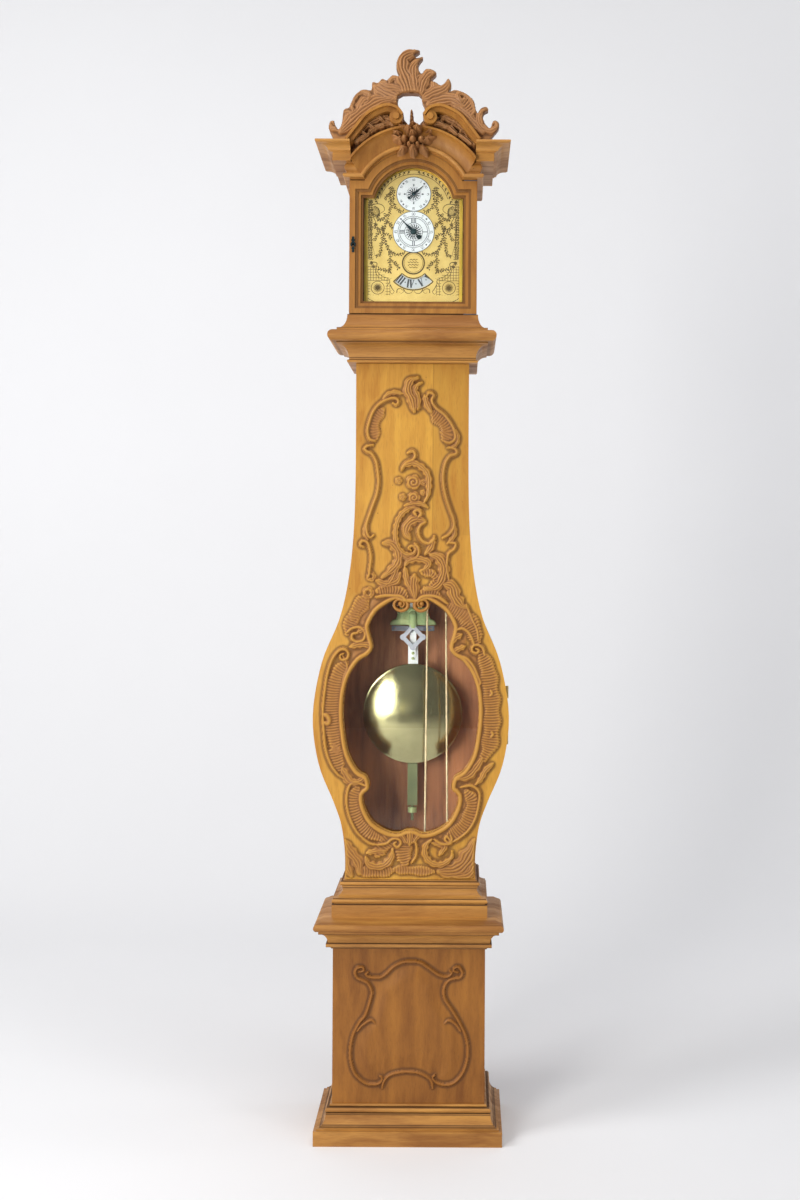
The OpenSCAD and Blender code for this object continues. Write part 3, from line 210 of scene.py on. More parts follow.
class Carving:
    """Relief on a flat face, held as heights over a fine grid. Lengths in millimetres."""

    step = 1.2
    sunk = -0.6
    flute = 5.2

    def __init__(self, x0, x1, z0, z1):
        self.xs = np.arange(x0, x1, self.step)
        self.zs = np.arange(z0, z1, self.step)
        self.x, self.z = np.meshgrid(self.xs, self.zs)
        self.height = np.full(self.x.shape, self.sunk)
        self.plain = np.zeros(self.x.shape)

    def window(self, lowest, highest):
        """The part of the grid between two corners."""
        i = np.clip(np.searchsorted(self.zs, [lowest[1], highest[1]]), 0, len(self.zs))
        j = np.clip(np.searchsorted(self.xs, [lowest[0], highest[0]]), 0, len(self.xs))
        return slice(*i), slice(*j)

    def lift(self, part, level):
        self.height[part] = np.maximum(self.height[part], level)

    def stroke(self, kind, width, height, points):
        """One cut along a curve: round ridge, lined leaf or fluted band, of that half width."""
        line = dense(points, self.step)
        run, way = distances(line), directions(line)
        part = self.window(line.min(0) - 1.5 * width - 11, line.max(0) + 1.5 * width + 11)
        dx = self.x[part][..., None] - line[:, 0]
        dz = self.z[part][..., None] - line[:, 1]
        near = (dx * dx + dz * dz).argmin(-1)
        dx = np.take_along_axis(dx, near[..., None], -1)[..., 0]
        dz = np.take_along_axis(dz, near[..., None], -1)[..., 0]
        tx, tz = way[near, 0], way[near, 1]
        far = np.hypot(dx, dz)
        side = tx * dz - tz * dx
        s = run[near] + tx * dx + tz * dz
        t = np.clip(s / run[-1], 0, 1)
        if kind == "round":
            w = 1.45 * width * np.clip(0.55 + 6 * np.minimum(t, 1 - t), 0, 1)
            q = np.clip(far / w, 0, 1)
            crown = np.sqrt(np.clip(1 - (q / 0.7) ** 2, 0, 1))
            rim = 0.42 * np.sqrt(np.clip(1 - ((q - 0.86) / 0.15) ** 2, 0, 1))
            body = np.maximum(crown, rim)
        elif kind == "lined":
            edge = 1 + 0.13 * np.sin(s / (0.55 * width + 1.5) * 2)
            w = 1.35 * width * edge * np.clip(0.35 + 2.4 * np.minimum(1.6 * t, 1 - t), 0, 1)
            q = np.clip(far / w, 0, 1)
            lines = 0.5 + 0.5 * np.cos(side / w * math.pi * (1.8 + width / 3.2))
            body = np.sqrt(1 - q * q) * (0.7 + 0.3 * lines)
        else:
            beat = s / self.flute * 2 * math.pi
            edge = 1 + 0.07 * np.cos(beat) + 0.13 * np.sin(s / 6.5)
            w = 1.3 * width * edge * np.clip(0.5 + 4 * np.minimum(t, 1 - t), 0, 1)
            q = np.clip(far / w, 0, 1)
            ribs = 0.5 + 0.5 * np.cos(beat + 0.9 * side / w + 2.2 * q * q + 0.7 * np.sin(s / 14))
            body = (0.5 + 0.32 * ribs + 0.18 * q * q) * np.sqrt(1 - q ** 6)
        self.lift(part, np.where(far < w, 0.1 + 1.2 * height * body, ground(far - w)))

    def strokes(self, cuts):
        """All cuts of a list that is kept by kind."""
        for kind, group in cuts.items():
            for cut in group:
                self.stroke(kind, *cut)

    def flower(self, x, z, radius, height, hole):
        """Rose with turned petals, or an open flower with a drilled heart."""
        part = self.window((x - radius - 9, z - radius - 9), (x + radius + 9, z + radius + 9))
        dx, dz = self.x[part] - x, self.z[part] - z
        far, turn = np.hypot(dx, dz), np.arctan2(dz, dx)
        reach = radius * (0.84 + 0.16 * np.abs(np.cos(2.5 * turn)))
        q = np.clip(far / reach, 0, 1)
        petals = 0.5 + 0.5 * np.cos(2 * math.pi * (far / radius * 2.3) - turn)
        petals = height * np.sqrt(1 - q ** 4) * (0.62 + 0.38 * petals)
        level = np.where(q < 1, petals, ground(far - reach))
        if hole:
            open_petals = level * (0.7 + 0.3 * np.abs(np.sin(2.5 * turn)))
            level = np.where(far < 0.3 * radius, 0.15, open_petals)
        self.lift(part, level)

    def bead(self, loop, centre, half, height):
        """Smooth bead that follows an opening's edge."""
        part = self.window(loop.min(0) - 20, loop.max(0) + 20)
        away = -inset(self.x[part], self.z[part], loop)
        q = np.clip(np.abs(away - centre) / half, 0, 1)
        self.lift(part, np.where(away > 0, height * np.sqrt(1 - q * q), self.sunk))

    def belt(self, loop, reach, height):
        """Shell-work that fills the ground round an opening: ribs in patches that fan out from its edge."""
        away = -inset(self.x, self.z, loop)
        near = np.full(self.x.shape, 1e9)
        s = np.zeros(self.x.shape)
        for (px, pz), r in zip(loop, distances(loop)):
            far = (self.x - px) ** 2 + (self.z - pz) ** 2
            s = np.where(far < near, r, s)
            near = np.minimum(far, near)
        edge = reach + 4 * np.sin(s / 13) + 2 * np.sin(s / 5.1)
        patch = 0.5 + 0.5 * np.sin(s / 21 + away / 9)
        ribs = 0.5 + 0.5 * np.cos(2 * math.pi * (s / 6.4 + away / 16))
        shell = 0.62 + 0.38 * ribs * patch + 0.25 * np.sin(away / 5.5)
        level = height * smoothstep((edge - away) / 5) * shell
        level = np.where(away > edge, ground(away - edge), level)
        self.height = np.maximum(self.height, np.where(away > 0, level, self.sunk))

    def field(self, loop, height, soft):
        """Softly domed field inside a closed outline."""
        room = inset(self.x, self.z, loop)
        self.plain = np.where(room > 0, 0.1 + height * smoothstep((room - 4) / soft), 0)
        self.height = np.where(room > 0, np.maximum(self.height, self.plain), self.height)

    def trim(self, room, soft):
        """Sinks the carving into the face towards its edges, where room runs out."""
        share = smoothstep(room / soft)
        self.height = self.height * share + self.sunk * (1 - share)

    def skin(self, name, y, body, material, sharp=2.6):
        """Mesh of all that stands above the face, marked for painted shade in its hollows and a painted highlight
        on its ridges, and where it is cut.
        """
        h = self.height
        up = h > 0
        cells = up[:-1, :-1] | up[1:, :-1] | up[:-1, 1:] | up[1:, 1:]
        used = np.zeros(h.shape, bool)
        for i, j in ((0, 0), (0, 1), (1, 0), (1, 1)):
            used[i:h.shape[0] - 1 + i, j:h.shape[1] - 1 + j] |= cells
        index = np.cumsum(used).reshape(h.shape) - 1
        a, b, c, d = index[:-1, :-1], index[:-1, 1:], index[1:, 1:], index[1:, :-1]
        faces = np.stack([a[cells], b[cells], c[cells], d[cells]], 1)
        co = np.stack([self.x[used], y / MM - h[used], self.z[used]], 1) * MM
        piece = add_mesh(name, co.tolist(), faces.tolist(), material, body)
        held = np.maximum(h, 0)
        # Relief below 0.5, in hollows and beside cuts, gives painted shade with dark wax; above 0.5, on ridges, a
        # painted highlight
        mark(piece, "relief", np.clip(0.5 + (held - blur(held, 3)) / sharp, 0.27, 1)[used])
        cut = (held > 0.45 + self.plain).astype(float)
        mark(piece, "patina", np.clip(1.3 * blur(cut, 3), 0, 1)[used])
        return piece


def roll(line, wide, deep, y, turns=12):
    """Vertices and faces of one closed roll of wood along a curve: half width and half depth at each point."""
    way = directions(line)
    side = np.stack([-way[:, 1], way[:, 0]], 1)
    verts = []
    for p, n, w, d in zip(line, side, wide, deep):
        for k in range(turns):
            a = 2 * math.pi * k / turns
            verts.append(((p[0] + w * math.cos(a) * n[0]) * MM, y - d * math.sin(a) * MM,
                          (p[1] + w * math.cos(a) * n[1]) * MM))
    ends = [tuple(range(turns))[::-1], tuple(range(len(verts) - turns, len(verts)))]
    return verts, quads(len(line), turns) + ends


def lump(x, z, wide, tall, turn, deep, y, lobes=0, furrow=0.0, tip=0.0):
    """Vertices and faces of one closed carved lump, such as a petal, a fruit or a leaf, on a flat back."""
    a = math.radians(turn)
    rings, around = 9, 36
    verts = []
    for i in range(rings + 1):
        q = i / rings
        for k in range(around):
            t = 2 * math.pi * k / around
            wave = 1 + furrow * math.cos(lobes * t)
            u = q * wide * math.cos(t) * wave
            v = q * tall * math.sin(t) * wave * (1 + tip * max(0.0, math.sin(t)) ** 3)
            fold = 1 - 0.35 * (furrow > 0) * q * (0.5 - 0.5 * math.cos(lobes * t))
            high = deep * math.sqrt(max(0.0, 1 - q * q)) * fold
            verts.append(((x + u * math.cos(a) + v * math.sin(a)) * MM, y - high * MM,
                          (z - u * math.sin(a) + v * math.cos(a)) * MM))
    back = tuple(range(around * rings, len(verts)))[::-1]
    return verts, quads(rings + 1, around) + [back]


# Fine work on the dial

class Engraving:
    """Cuts filled with dark wax, each a low ridge of wax in the metal. Lengths in millimetres."""

    def __init__(self, y, weight=1.0):
        self.y, self.weight = y / MM, weight
        self.verts, self.faces = [], []

    def cut(self, points, width, shape="even", step=0.8):
        line = dense(points, step)
        way = directions(line)
        t = np.linspace(0, 1, len(line))
        w = {"even": np.ones_like(t), "leaf": np.sin(math.pi * np.clip(t, 0.03, 0.97)),
             "tail": 1 - 0.8 * t}[shape] * width * self.weight / 2
        n = np.stack([-way[:, 1], way[:, 0]], 1)
        first = len(self.verts)
        for p, q, r in zip(line, n, w):
            for k, up in ((1, 0.03), (0, -0.07), (-1, 0.03)):
                self.verts.append(((p[0] + k * r * q[0]) * MM, (self.y + up) * MM, (p[1] + k * r * q[1]) * MM))
        for i in range(len(line) - 1):
            a = first + 3 * i
            self.faces += [(a, a + 1, a + 4, a + 3), (a + 1, a + 2, a + 5, a + 4)]

    def ray(self, centre, inner, outer, turn, width, shape="even"):
        self.cut([polar(centre, inner, turn), polar(centre, outer, turn)], width, shape)

    def circle(self, centre, r, width, start=0.0, end=360.0):
        n = max(8, int(abs(end - start) / 6))
        angles = np.radians(np.linspace(start, end, n + 1))
        self.cut(np.stack([centre[0] + r * np.sin(angles), centre[1] + r * np.cos(angles)], 1), width)

    def leaf(self, root, turn, length, width):
        a = math.radians(turn) + 0.25
        middle = (root[0] + 0.5 * length * math.sin(a), root[1] + 0.5 * length * math.cos(a))
        self.cut([root, middle, polar(root, length, turn)], width, "leaf")

    def star(self, centre, count, length, width):
        for k in range(count):
            self.leaf(centre, 360 / count * k, length, width)

    def rosette(self, centre, inner, outer, count):
        """Ring of leaves, with a small eye between each two."""
        for k in range(count):
            turn = 360 / count * k
            self.leaf(polar(centre, inner, turn), turn, outer - inner, 1.9)
            self.circle(polar(centre, 0.8 * outer, turn + 180 / count), 0.8, 0.5)

    def spray(self, points, every, size, stem):
        """Stem with leaves on both sides."""
        line = dense(points, every)
        self.cut(points, stem)
        for i, (p, d) in enumerate(zip(line, directions(line))):
            heading = math.degrees(math.atan2(d[0], d[1]))
            for s in (-1, 1):
                bend = 50 + 14 * math.sin(2.1 * i + s)
                length = size * (0.8 + 0.3 * math.sin(1.7 * i + 2 * s))
                self.leaf(p, heading + s * bend, length, 0.42 * size)

    def mirror(self, draw):
        """Runs the same drawing on the left and, mirrored, on the right."""
        first_vert, first_face = len(self.verts), len(self.faces)
        draw()
        shift = len(self.verts) - first_vert
        self.verts += [(-x, y, z) for x, y, z in self.verts[first_vert:]]
        self.faces += [tuple(v + shift for v in reversed(f)) for f in self.faces[first_face:]]

    def figure(self, text, centre, size, turn, width, table):
        """Figures side by side, centred on a point, turned clockwise by that many degrees."""
        a = math.radians(turn)
        starts = np.cumsum([0] + [1.35 if sign == "I" else 2.5 for sign in text])
        wide = starts[-1] - 0.4
        for k, sign in zip(starts, text):
            for weight, path in table[sign]:
                u, v = np.array(path, float).T
                u, v = (u + k - wide / 2) * size / 4, (v - 2) * size / 4
                self.cut(np.stack([centre[0] + u * math.cos(a) + v * math.sin(a),
                                   centre[1] - u * math.sin(a) + v * math.cos(a)], 1), width * weight, step=0.6)

    def fives(self, centre, r, size, width):
        """Seconds or minutes in fives round a ring."""
        for k in range(12):
            text = str(5 * k) if k else "00"
            self.figure(text, polar(centre, r, 30 * k), size, 30 * k, width, FIGURES)

    def done(self, name, material, body):
        return add_mesh(name, self.verts, self.faces, material, body)


# Figures as pen strokes in a box two wide and four high: weight and path
FIGURES = {
    "0": [(1, [(1, 0), (0, 1), (0, 3), (1, 4), (2, 3), (2, 1), (1, 0)])],
    "1": [(1, [(0.4, 3.2), (1.2, 4)]), (1.4, [(1.2, 4), (1.2, 0)])],
    "2": [(1, [(0, 3), (0.4, 3.8), (1.4, 3.9), (1.9, 3), (1, 1.5), (0, 0)]), (1.3, [(0, 0), (2, 0)])],
    "3": [(1, [(0, 3.6), (1.2, 4), (1.9, 3), (1, 2.1)]), (1, [(1, 2.1), (2, 1.2), (1, 0), (0, 0.5)])],
    "4": [(1.3, [(1.5, 0), (1.5, 4)]), (1, [(1.5, 4), (0, 1.2)]), (1, [(0, 1.2), (2.2, 1.2)])],
    "5": [(1, [(1.9, 4), (0.3, 4)]), (1, [(0.3, 4), (0.2, 2.3)]),
          (1, [(0.2, 2.3), (1.5, 2.4), (2, 1.3), (1.2, 0), (0, 0.3)])],
}
NUMERALS = {
    "I": [(1.9, [(0.5, 0), (0.5, 4)]), (0.6, [(0, 0), (1, 0)]), (0.6, [(0, 4), (1, 4)])],
    "V": [(1.9, [(0.2, 4), (1, 0)]), (0.7, [(1, 0), (1.8, 4)]), (0.6, [(-0.1, 4), (0.7, 4)]),
          (0.6, [(1.4, 4), (2.1, 4)])],
    "X": [(1.9, [(0.2, 4), (1.8, 0)]), (0.7, [(0.2, 0), (1.8, 4)]), (0.6, [(-0.1, 4), (0.6, 4)]),
          (0.6, [(1.4, 0), (2.1, 0)])],
}


# Cuts of the carving, by kind: half width, height and the points X, Z they run through, in millimetres
DOOR_CARVING = {"fluted": [
    (10, 3, [(-87, 1037), (-104, 1015), (-118, 993), (-124, 974)]),
    (12, 3.4, [(-127, 915), (-142, 893), (-150, 864), (-152, 832), (-151, 800), (-148, 768), (-144, 746)]),
    (11, 3.6, [(-147, 752), (-143, 732), (-137, 711)]),
    (9, 3.4, [(-103, 673), (-110, 653), (-108, 629), (-98, 605), (-80, 585), (-58, 574)]),
    (13, 3.4, [(-11, 569), (-13, 550), (-10, 528)]),
    (11, 3.4, [(-35, 577), (-50, 562), (-63, 544)]),
    (8, 3, [(-98, 510), (-66, 508), (-34, 512)]),
    (7, 2.6, [(-30, 514), (6, 512), (45, 510)]),
    (13, 4, [(138, 934), (149, 907), (153, 880), (157, 848), (158, 816), (157, 784), (152, 752), (142, 732)]),
    (13, 4, [(76, 1027), (95, 1015), (111, 998), (122, 979), (127, 959)]),
    (10, 3.6, [(110, 666), (120, 649), (117, 625), (107, 605), (89, 587), (71, 578)]),
    (8, 2, [(-58, 1409), (-70, 1392), (-74, 1371), (-71, 1353)]),
    (11, 2.6, [(41, 1403), (60, 1387), (70, 1368), (63, 1352)]),
    (5, 3.4, [(9, 1430), (11, 1410)]),
    (6, 4.2, [(21, 1091), (39, 1091), (49, 1077), (38, 1067)]),
    (8, 4.2, [(-66, 1056), (-44, 1059), (-25, 1056), (-10, 1044)]),
    (7, 4.2, [(20, 1055), (38, 1055), (55, 1046)]),
    (12, 4.2, [(79, 1025), (98, 1013), (113, 998)]),
    (9, 3.6, [(-91, 1043), (-106, 1022), (-114, 1003)]),
], "round": [
    (3.2, 4.5, [(-126, 974), (-115, 983), (-100, 985), (-90, 974), (-93, 961), (-106, 957), (-115, 963),
     (-114, 972), (-104, 974)]),
    (3, 4.8, [(-131, 934), (-138, 930), (-135, 922), (-125, 924), (-122, 934), (-129, 942), (-141, 939),
     (-154, 921), (-163, 891), (-168, 856), (-171, 820), (-169, 784), (-165, 748), (-155, 719), (-142, 700),
     (-130, 691)]),
    (6, 5, [(-168, 816), (-162, 811), (-159, 804), (-162, 798), (-168, 800)]),
    (4.5, 4.5, [(-92, 693), (-84, 691), (-81, 696)]),
    (3, 4.6, [(-78, 672), (-90, 678), (-105, 683), (-117, 679), (-123, 661), (-123, 637), (-116, 611),
     (-102, 585), (-80, 566), (-63, 562)]),
    (3, 4.5, [(5, 577), (12, 562), (12, 542), (3, 527)]),
    (3.4, 5, [(-63, 562), (-46, 565), (-34, 574), (-22, 573), (-18, 565), (-25, 558), (-31, 564),
     (-27, 568)]),
    (3.4, 5, [(79, 581), (81, 573), (75, 567), (68, 573), (72, 579), (79, 566), (61, 565), (47, 573)]),
    (3.4, 4.8, [(155, 864), (158, 858), (154, 853)]),
    (3.4, 4.8, [(157, 783), (160, 778), (156, 773)]),
    (3.2, 5, [(143, 932), (140, 945), (130, 952), (120, 949), (119, 940), (127, 936), (132, 941),
     (126, 945)]),
    (3.2, 4.8, [(89, 981), (99, 984), (111, 977), (119, 963), (123, 950)]),
    (2.6, 4.4, [(107, 1030), (118, 1003), (128, 981), (131, 959)]),
    (3.6, 4.6, [(89, 930), (107, 926), (121, 911), (130, 891), (135, 878), (128, 871)]),
    (4.5, 4.6, [(81, 696), (88, 691), (96, 693)]),
    (4, 4.6, [(79, 680), (83, 671), (92, 669)]),
    (3, 4.6, [(98, 675), (119, 678), (134, 665), (133, 641), (126, 613), (113, 591), (97, 577), (80, 567)]),
    (2.4, 3.6, [(-133, 930), (-124, 909), (-131, 889), (-134, 868), (-129, 864)]),
    (3.2, 4.2, [(-38, 1422), (-31, 1419), (-27, 1425), (-33, 1431), (-46, 1430), (-64, 1420), (-76, 1405),
     (-83, 1387), (-87, 1368), (-83, 1352), (-72, 1348)]),
    (3.2, 4.4, [(-76, 1340), (-87, 1338), (-92, 1332), (-87, 1327), (-79, 1323), (-70, 1308), (-66, 1284),
     (-65, 1266), (-68, 1245), (-75, 1225), (-82, 1205), (-88, 1185), (-87, 1169), (-81, 1160), (-74, 1164)]),
    (3, 4.2, [(-93, 1141), (-100, 1146), (-96, 1153), (-87, 1151), (-82, 1139), (-79, 1121), (-81, 1101),
     (-83, 1084)]),
    (3.4, 4.4, [(27, 1434), (33, 1442), (42, 1438), (38, 1427), (46, 1413), (63, 1399), (76, 1382),
     (83, 1365), (83, 1352), (74, 1345), (64, 1347)]),
    (3.4, 4.4, [(74, 1336), (85, 1332), (86, 1324), (74, 1319), (65, 1305), (61, 1284), (62, 1260),
     (67, 1237), (74, 1216), (81, 1197), (82, 1181), (73, 1167), (61, 1160)]),
    (3, 4.2, [(72, 1151), (85, 1149), (83, 1139), (72, 1129), (69, 1114), (69, 1098), (73, 1079)]),
    (3.6, 4.4, [(-8, 1325), (1, 1328), (6, 1321), (2, 1312), (-10, 1306), (-20, 1295)]),
    (4.4, 5, [(9, 1203), (5, 1210), (12, 1214), (18, 1207), (13, 1200)]),
    (3.6, 4.8, [(27, 1190), (17, 1184), (13, 1170), (19, 1156), (32, 1149), (43, 1156), (44, 1163)]),
    (3.4, 4.6, [(6, 1148), (13, 1140), (13, 1127), (5, 1119), (-3, 1121)]),
    (4, 5.4, [(-68, 1044), (-52, 1047), (-34, 1047), (-19, 1045), (-9, 1033), (-16, 1021), (-28, 1023),
     (-30, 1033), (-23, 1036), (-19, 1030)]),
    (4, 5.4, [(71, 1032), (55, 1043), (39, 1047), (21, 1045), (10, 1034), (16, 1022), (28, 1024), (29, 1033),
     (22, 1036), (18, 1030)]),
], "lined": [
    (6, 5, [(-118, 947), (-100, 952), (-82, 950), (-75, 941)]),
    (5, 4.5, [(-104, 977), (-92, 981), (-81, 974)]),
    (8, 4.5, [(-133, 711), (-117, 687), (-99, 681)]),
    (5, 5, [(-87, 701), (-97, 687), (-114, 687), (-127, 705)]),
    (6, 6, [(-1, 562), (0, 579), (-1, 599)]),
    (5, 5, [(-7, 566), (-14, 578), (-23, 586)]),
    (5, 5, [(5, 566), (13, 578), (22, 587)]),
    (7, 4.6, [(-86, 537), (-80, 524), (-64, 519), (-47, 524), (-36, 538), (-34, 554)]),
    (5, 4, [(-84, 546), (-64, 550), (-48, 550)]),
    (5.5, 5, [(42, 573), (31, 562), (29, 544), (41, 528), (61, 524), (80, 537), (82, 550)]),
    (5, 4.4, [(57, 542), (68, 560), (57, 563), (43, 566)]),
    (15, 3.6, [(57, 511), (89, 513), (109, 529), (121, 552), (126, 569)]),
    (9, 3.4, [(85, 501), (113, 506), (127, 526), (129, 546)]),
    (10, 3.6, [(-129, 569), (-118, 548), (-102, 528), (-98, 506)]),
    (8, 3.2, [(-125, 538), (-122, 518), (-114, 500)]),
    (6, 5, [(98, 972), (85, 965), (76, 952)]),
    (5, 5, [(105, 949), (89, 942), (79, 933)]),
    (7, 4.6, [(140, 732), (128, 713), (113, 697), (90, 690)]),
    (5, 4.4, [(161, 721), (147, 709), (137, 691), (127, 680)]),
    (4, 4, [(-57, 1430), (-45, 1440), (-31, 1443), (-18, 1440)]),
    (3.2, 3.6, [(-89, 1189), (-92, 1169), (-85, 1155)]),
    (6, 4, [(24, 1437), (28, 1422), (37, 1404)]),
    (3.6, 4, [(85, 1371), (89, 1353), (83, 1339), (68, 1335)]),
    (4.2, 4, [(85, 1182), (82, 1164), (70, 1149)]),
    (8, 5.4, [(4, 1406), (0, 1428), (-8, 1447), (-3, 1465), (10, 1471)]),
    (5, 5, [(11, 1410), (11, 1432), (5, 1448), (11, 1458), (19, 1462)]),
    (5.5, 5.2, [(-20, 1291), (-14, 1300), (2, 1305), (18, 1298), (30, 1284), (33, 1264), (31, 1242),
     (24, 1228)]),
    (4.5, 4.4, [(-14, 1222), (5, 1226), (21, 1225), (31, 1219)]),
    (4.8, 5.2, [(18, 1214), (2, 1219), (-14, 1211), (-25, 1197), (-31, 1177), (-31, 1158), (-25, 1139),
     (-11, 1127), (3, 1129), (8, 1138), (2, 1144), (-5, 1140), (-1, 1135)]),
    (8, 4.4, [(25, 1193), (9, 1196), (-6, 1187), (-11, 1171), (-3, 1158)]),
    (6, 4.6, [(42, 1158), (38, 1142), (27, 1128)]),
    (8, 5, [(-55, 1149), (-38, 1148), (-26, 1132), (-26, 1112), (-39, 1096), (-57, 1082)]),
    (8.5, 5.2, [(36, 1128), (54, 1120), (63, 1100), (58, 1077), (46, 1064), (27, 1059)]),
    (6, 4.8, [(-13, 1105), (-6, 1115), (13, 1119), (33, 1112), (28, 1101), (18, 1095)]),
    (9, 5, [(6, 1087), (4, 1067), (7, 1042)]),
    (5.5, 4.6, [(-13, 1103), (-9, 1077), (3, 1053)]),
    (7, 4.4, [(-68, 1076), (-48, 1070), (-29, 1077), (-22, 1091)]),
    (10, 5.4, [(64, 1070), (79, 1065), (85, 1045), (97, 1029), (107, 1025)]),
    (6, 4.4, [(-21, 1123), (-27, 1106), (-39, 1077), (-58, 1062)]),
    (4.5, 4.2, [(-30, 1135), (-14, 1122), (6, 1116)]),
]}
# Roses and open flowers: X, Z, radius, height and whether the heart is drilled
DOOR_FLOWERS = [(3, 1268, 16, 5, 0), (4, 1238, 13, 4.6, 0), (-26, 1271, 8, 3.6, 0), (-18, 1239, 8, 3.6, 0),
                (23, 1268, 8, 4, 0), (22, 1248, 7, 4, 0), (-79, 1084, 11, 3.6, 1), (-84, 1052, 13, 3.8, 1),
                (39, 1118, 6, 4, 0)]
CREST_CARVING = {"lined": [
    (4.5, 5, [(-152, 1952), (-155, 1959), (-160, 1955), (-157, 1947), (-143, 1943), (-128, 1950),
     (-119, 1965), (-122, 1976), (-130, 1976)]),
    (4.8, 6, [(-87, 1999), (-84, 2007), (-91, 2012), (-102, 2014), (-114, 2003), (-118, 1989), (-115, 1977)]),
    (13, 6, [(-139, 1938), (-116, 1961), (-92, 1981), (-65, 1997), (-34, 2003)]),
    (9, 5, [(-104, 1979), (-96, 1995), (-85, 2003)]),
    (12, 6, [(-74, 2025), (-57, 2014), (-38, 2006), (-18, 2000)]),
    (8, 6, [(-65, 2032), (-49, 2024), (-34, 2022), (-20, 2018)]),
    (4, 6, [(-46, 2032), (-41, 2040), (-32, 2042), (-26, 2039)]),
    (15, 9, [(-5, 2003), (-13, 2032), (-24, 2061), (-22, 2080), (-9, 2089), (7, 2090)]),
    (9, 8, [(5, 2010), (0, 2042), (0, 2063), (14, 2076)]),
    (9, 7, [(13, 2009), (18, 2033), (29, 2049), (40, 2049), (39, 2043)]),
    (8, 6, [(9, 2032), (13, 2042), (18, 2044)]),
    (11, 6, [(18, 2002), (39, 2014), (57, 2021), (69, 2034)]),
    (6, 5, [(40, 2024), (39, 2035), (41, 2038)]),
    (12, 6, [(29, 1992), (53, 1999), (76, 2000), (96, 1987)]),
    (4.8, 6.5, [(100, 2002), (92, 1999), (85, 2007), (91, 2014), (104, 2009), (114, 1996), (118, 1981),
     (112, 1970)]),
    (11, 6, [(80, 1987), (100, 1971), (116, 1954), (133, 1939)]),
    (6, 5.5, [(143, 1981), (131, 1977), (126, 1965), (131, 1950), (147, 1942), (160, 1949), (158, 1958),
     (152, 1956)]),
    (4.4, 5, [(125, 1979), (128, 1967), (137, 1960)]),
    (5, 5, [(17, 1987), (10, 1978), (8, 1999), (16, 2007)]),
    (5, 5, [(-27, 1987), (-20, 1999), (-26, 2003), (-31, 2003)]),
], "fluted": [
    (12, 5.5, [(88, 1999), (100, 1987), (111, 1970)]),
]}
TYMPANUM_CARVING = [
    (7, 5, [(-124, 1919), (-111, 1935), (-93, 1953), (-71, 1966), (-50, 1973)]),
    (5, 6, [(-120, 1939), (-105, 1945), (-93, 1939)]),
    (5, 6, [(-105, 1954), (-87, 1957), (-76, 1949)]),
    (5, 6, [(-84, 1967), (-69, 1973), (-57, 1963)]),
    (5, 6, [(-113, 1923), (-96, 1931), (-84, 1939)]),
    (5, 6, [(-87, 1939), (-71, 1951), (-53, 1955)]),
    (5, 6, [(-65, 1951), (-50, 1959), (-34, 1955)]),
    (6, 6, [(-54, 1967), (-38, 1963), (-24, 1955)]),
    (7, 5, [(118, 1917), (108, 1936), (91, 1953), (71, 1966), (51, 1973)]),
    (5, 6, [(116, 1935), (101, 1947), (90, 1942)]),
    (5, 6, [(102, 1951), (85, 1961), (73, 1955)]),
    (5, 6, [(81, 1965), (65, 1973), (53, 1965)]),
    (5, 6, [(113, 1919), (98, 1931), (86, 1939)]),
    (5, 6, [(85, 1937), (69, 1951), (53, 1954)]),
    (5, 6, [(65, 1951), (49, 1960), (36, 1957)]),
    (6, 6, [(49, 1969), (37, 1965), (26, 1957)]),
]
PANEL_BEAD = [
    (3.4, 4.2, [(-78, 324), (-82, 320), (-76, 315), (-56, 314), (-44, 321), (-29, 335), (-13, 343), (2, 345),
     (22, 343), (38, 333), (57, 320), (73, 316), (83, 323), (79, 327)]),
    (3.4, 4.2, [(-96, 324), (-87, 327), (-89, 333), (-99, 332), (-103, 323), (-99, 313), (-88, 308),
     (-78, 302), (-71, 287), (-74, 269), (-83, 242), (-95, 226), (-107, 201), (-112, 167), (-106, 136),
     (-94, 119), (-77, 109), (-57, 110), (-50, 119), (-54, 124)]),
    (3.4, 4.2, [(95, 324), (87, 327), (88, 333), (97, 334), (103, 324), (99, 315), (88, 313), (76, 308),
     (68, 293), (70, 273), (85, 250), (101, 222), (112, 195), (114, 163), (106, 134), (90, 114), (72, 108),
     (55, 112), (47, 121), (51, 127)]),
    (3.2, 4, [(-50, 101), (-47, 114), (-36, 126), (-16, 132), (0, 133), (19, 131), (35, 124), (45, 114),
     (47, 101)]),
    (3, 3.8, [(-99, 210), (-90, 221), (-79, 229), (-71, 232), (-64, 226)]),
    (3, 3.8, [(101, 210), (94, 221), (85, 229), (76, 232), (69, 226)]),
]
VOLUTE = [(-67, 1018), (-58.3, 1030), (-44.4, 1040.5), (-30.5, 1044.9), (-18.4, 1043), (-8.8, 1034.4),
          (-8.6, 1023.5), (-19.5, 1017.6), (-31, 1022.6), (-33.4, 1031.8), (-27, 1038.8), (-17.8, 1037.9),
          (-13.6, 1031), (-17.3, 1025.2), (-22, 1026)]

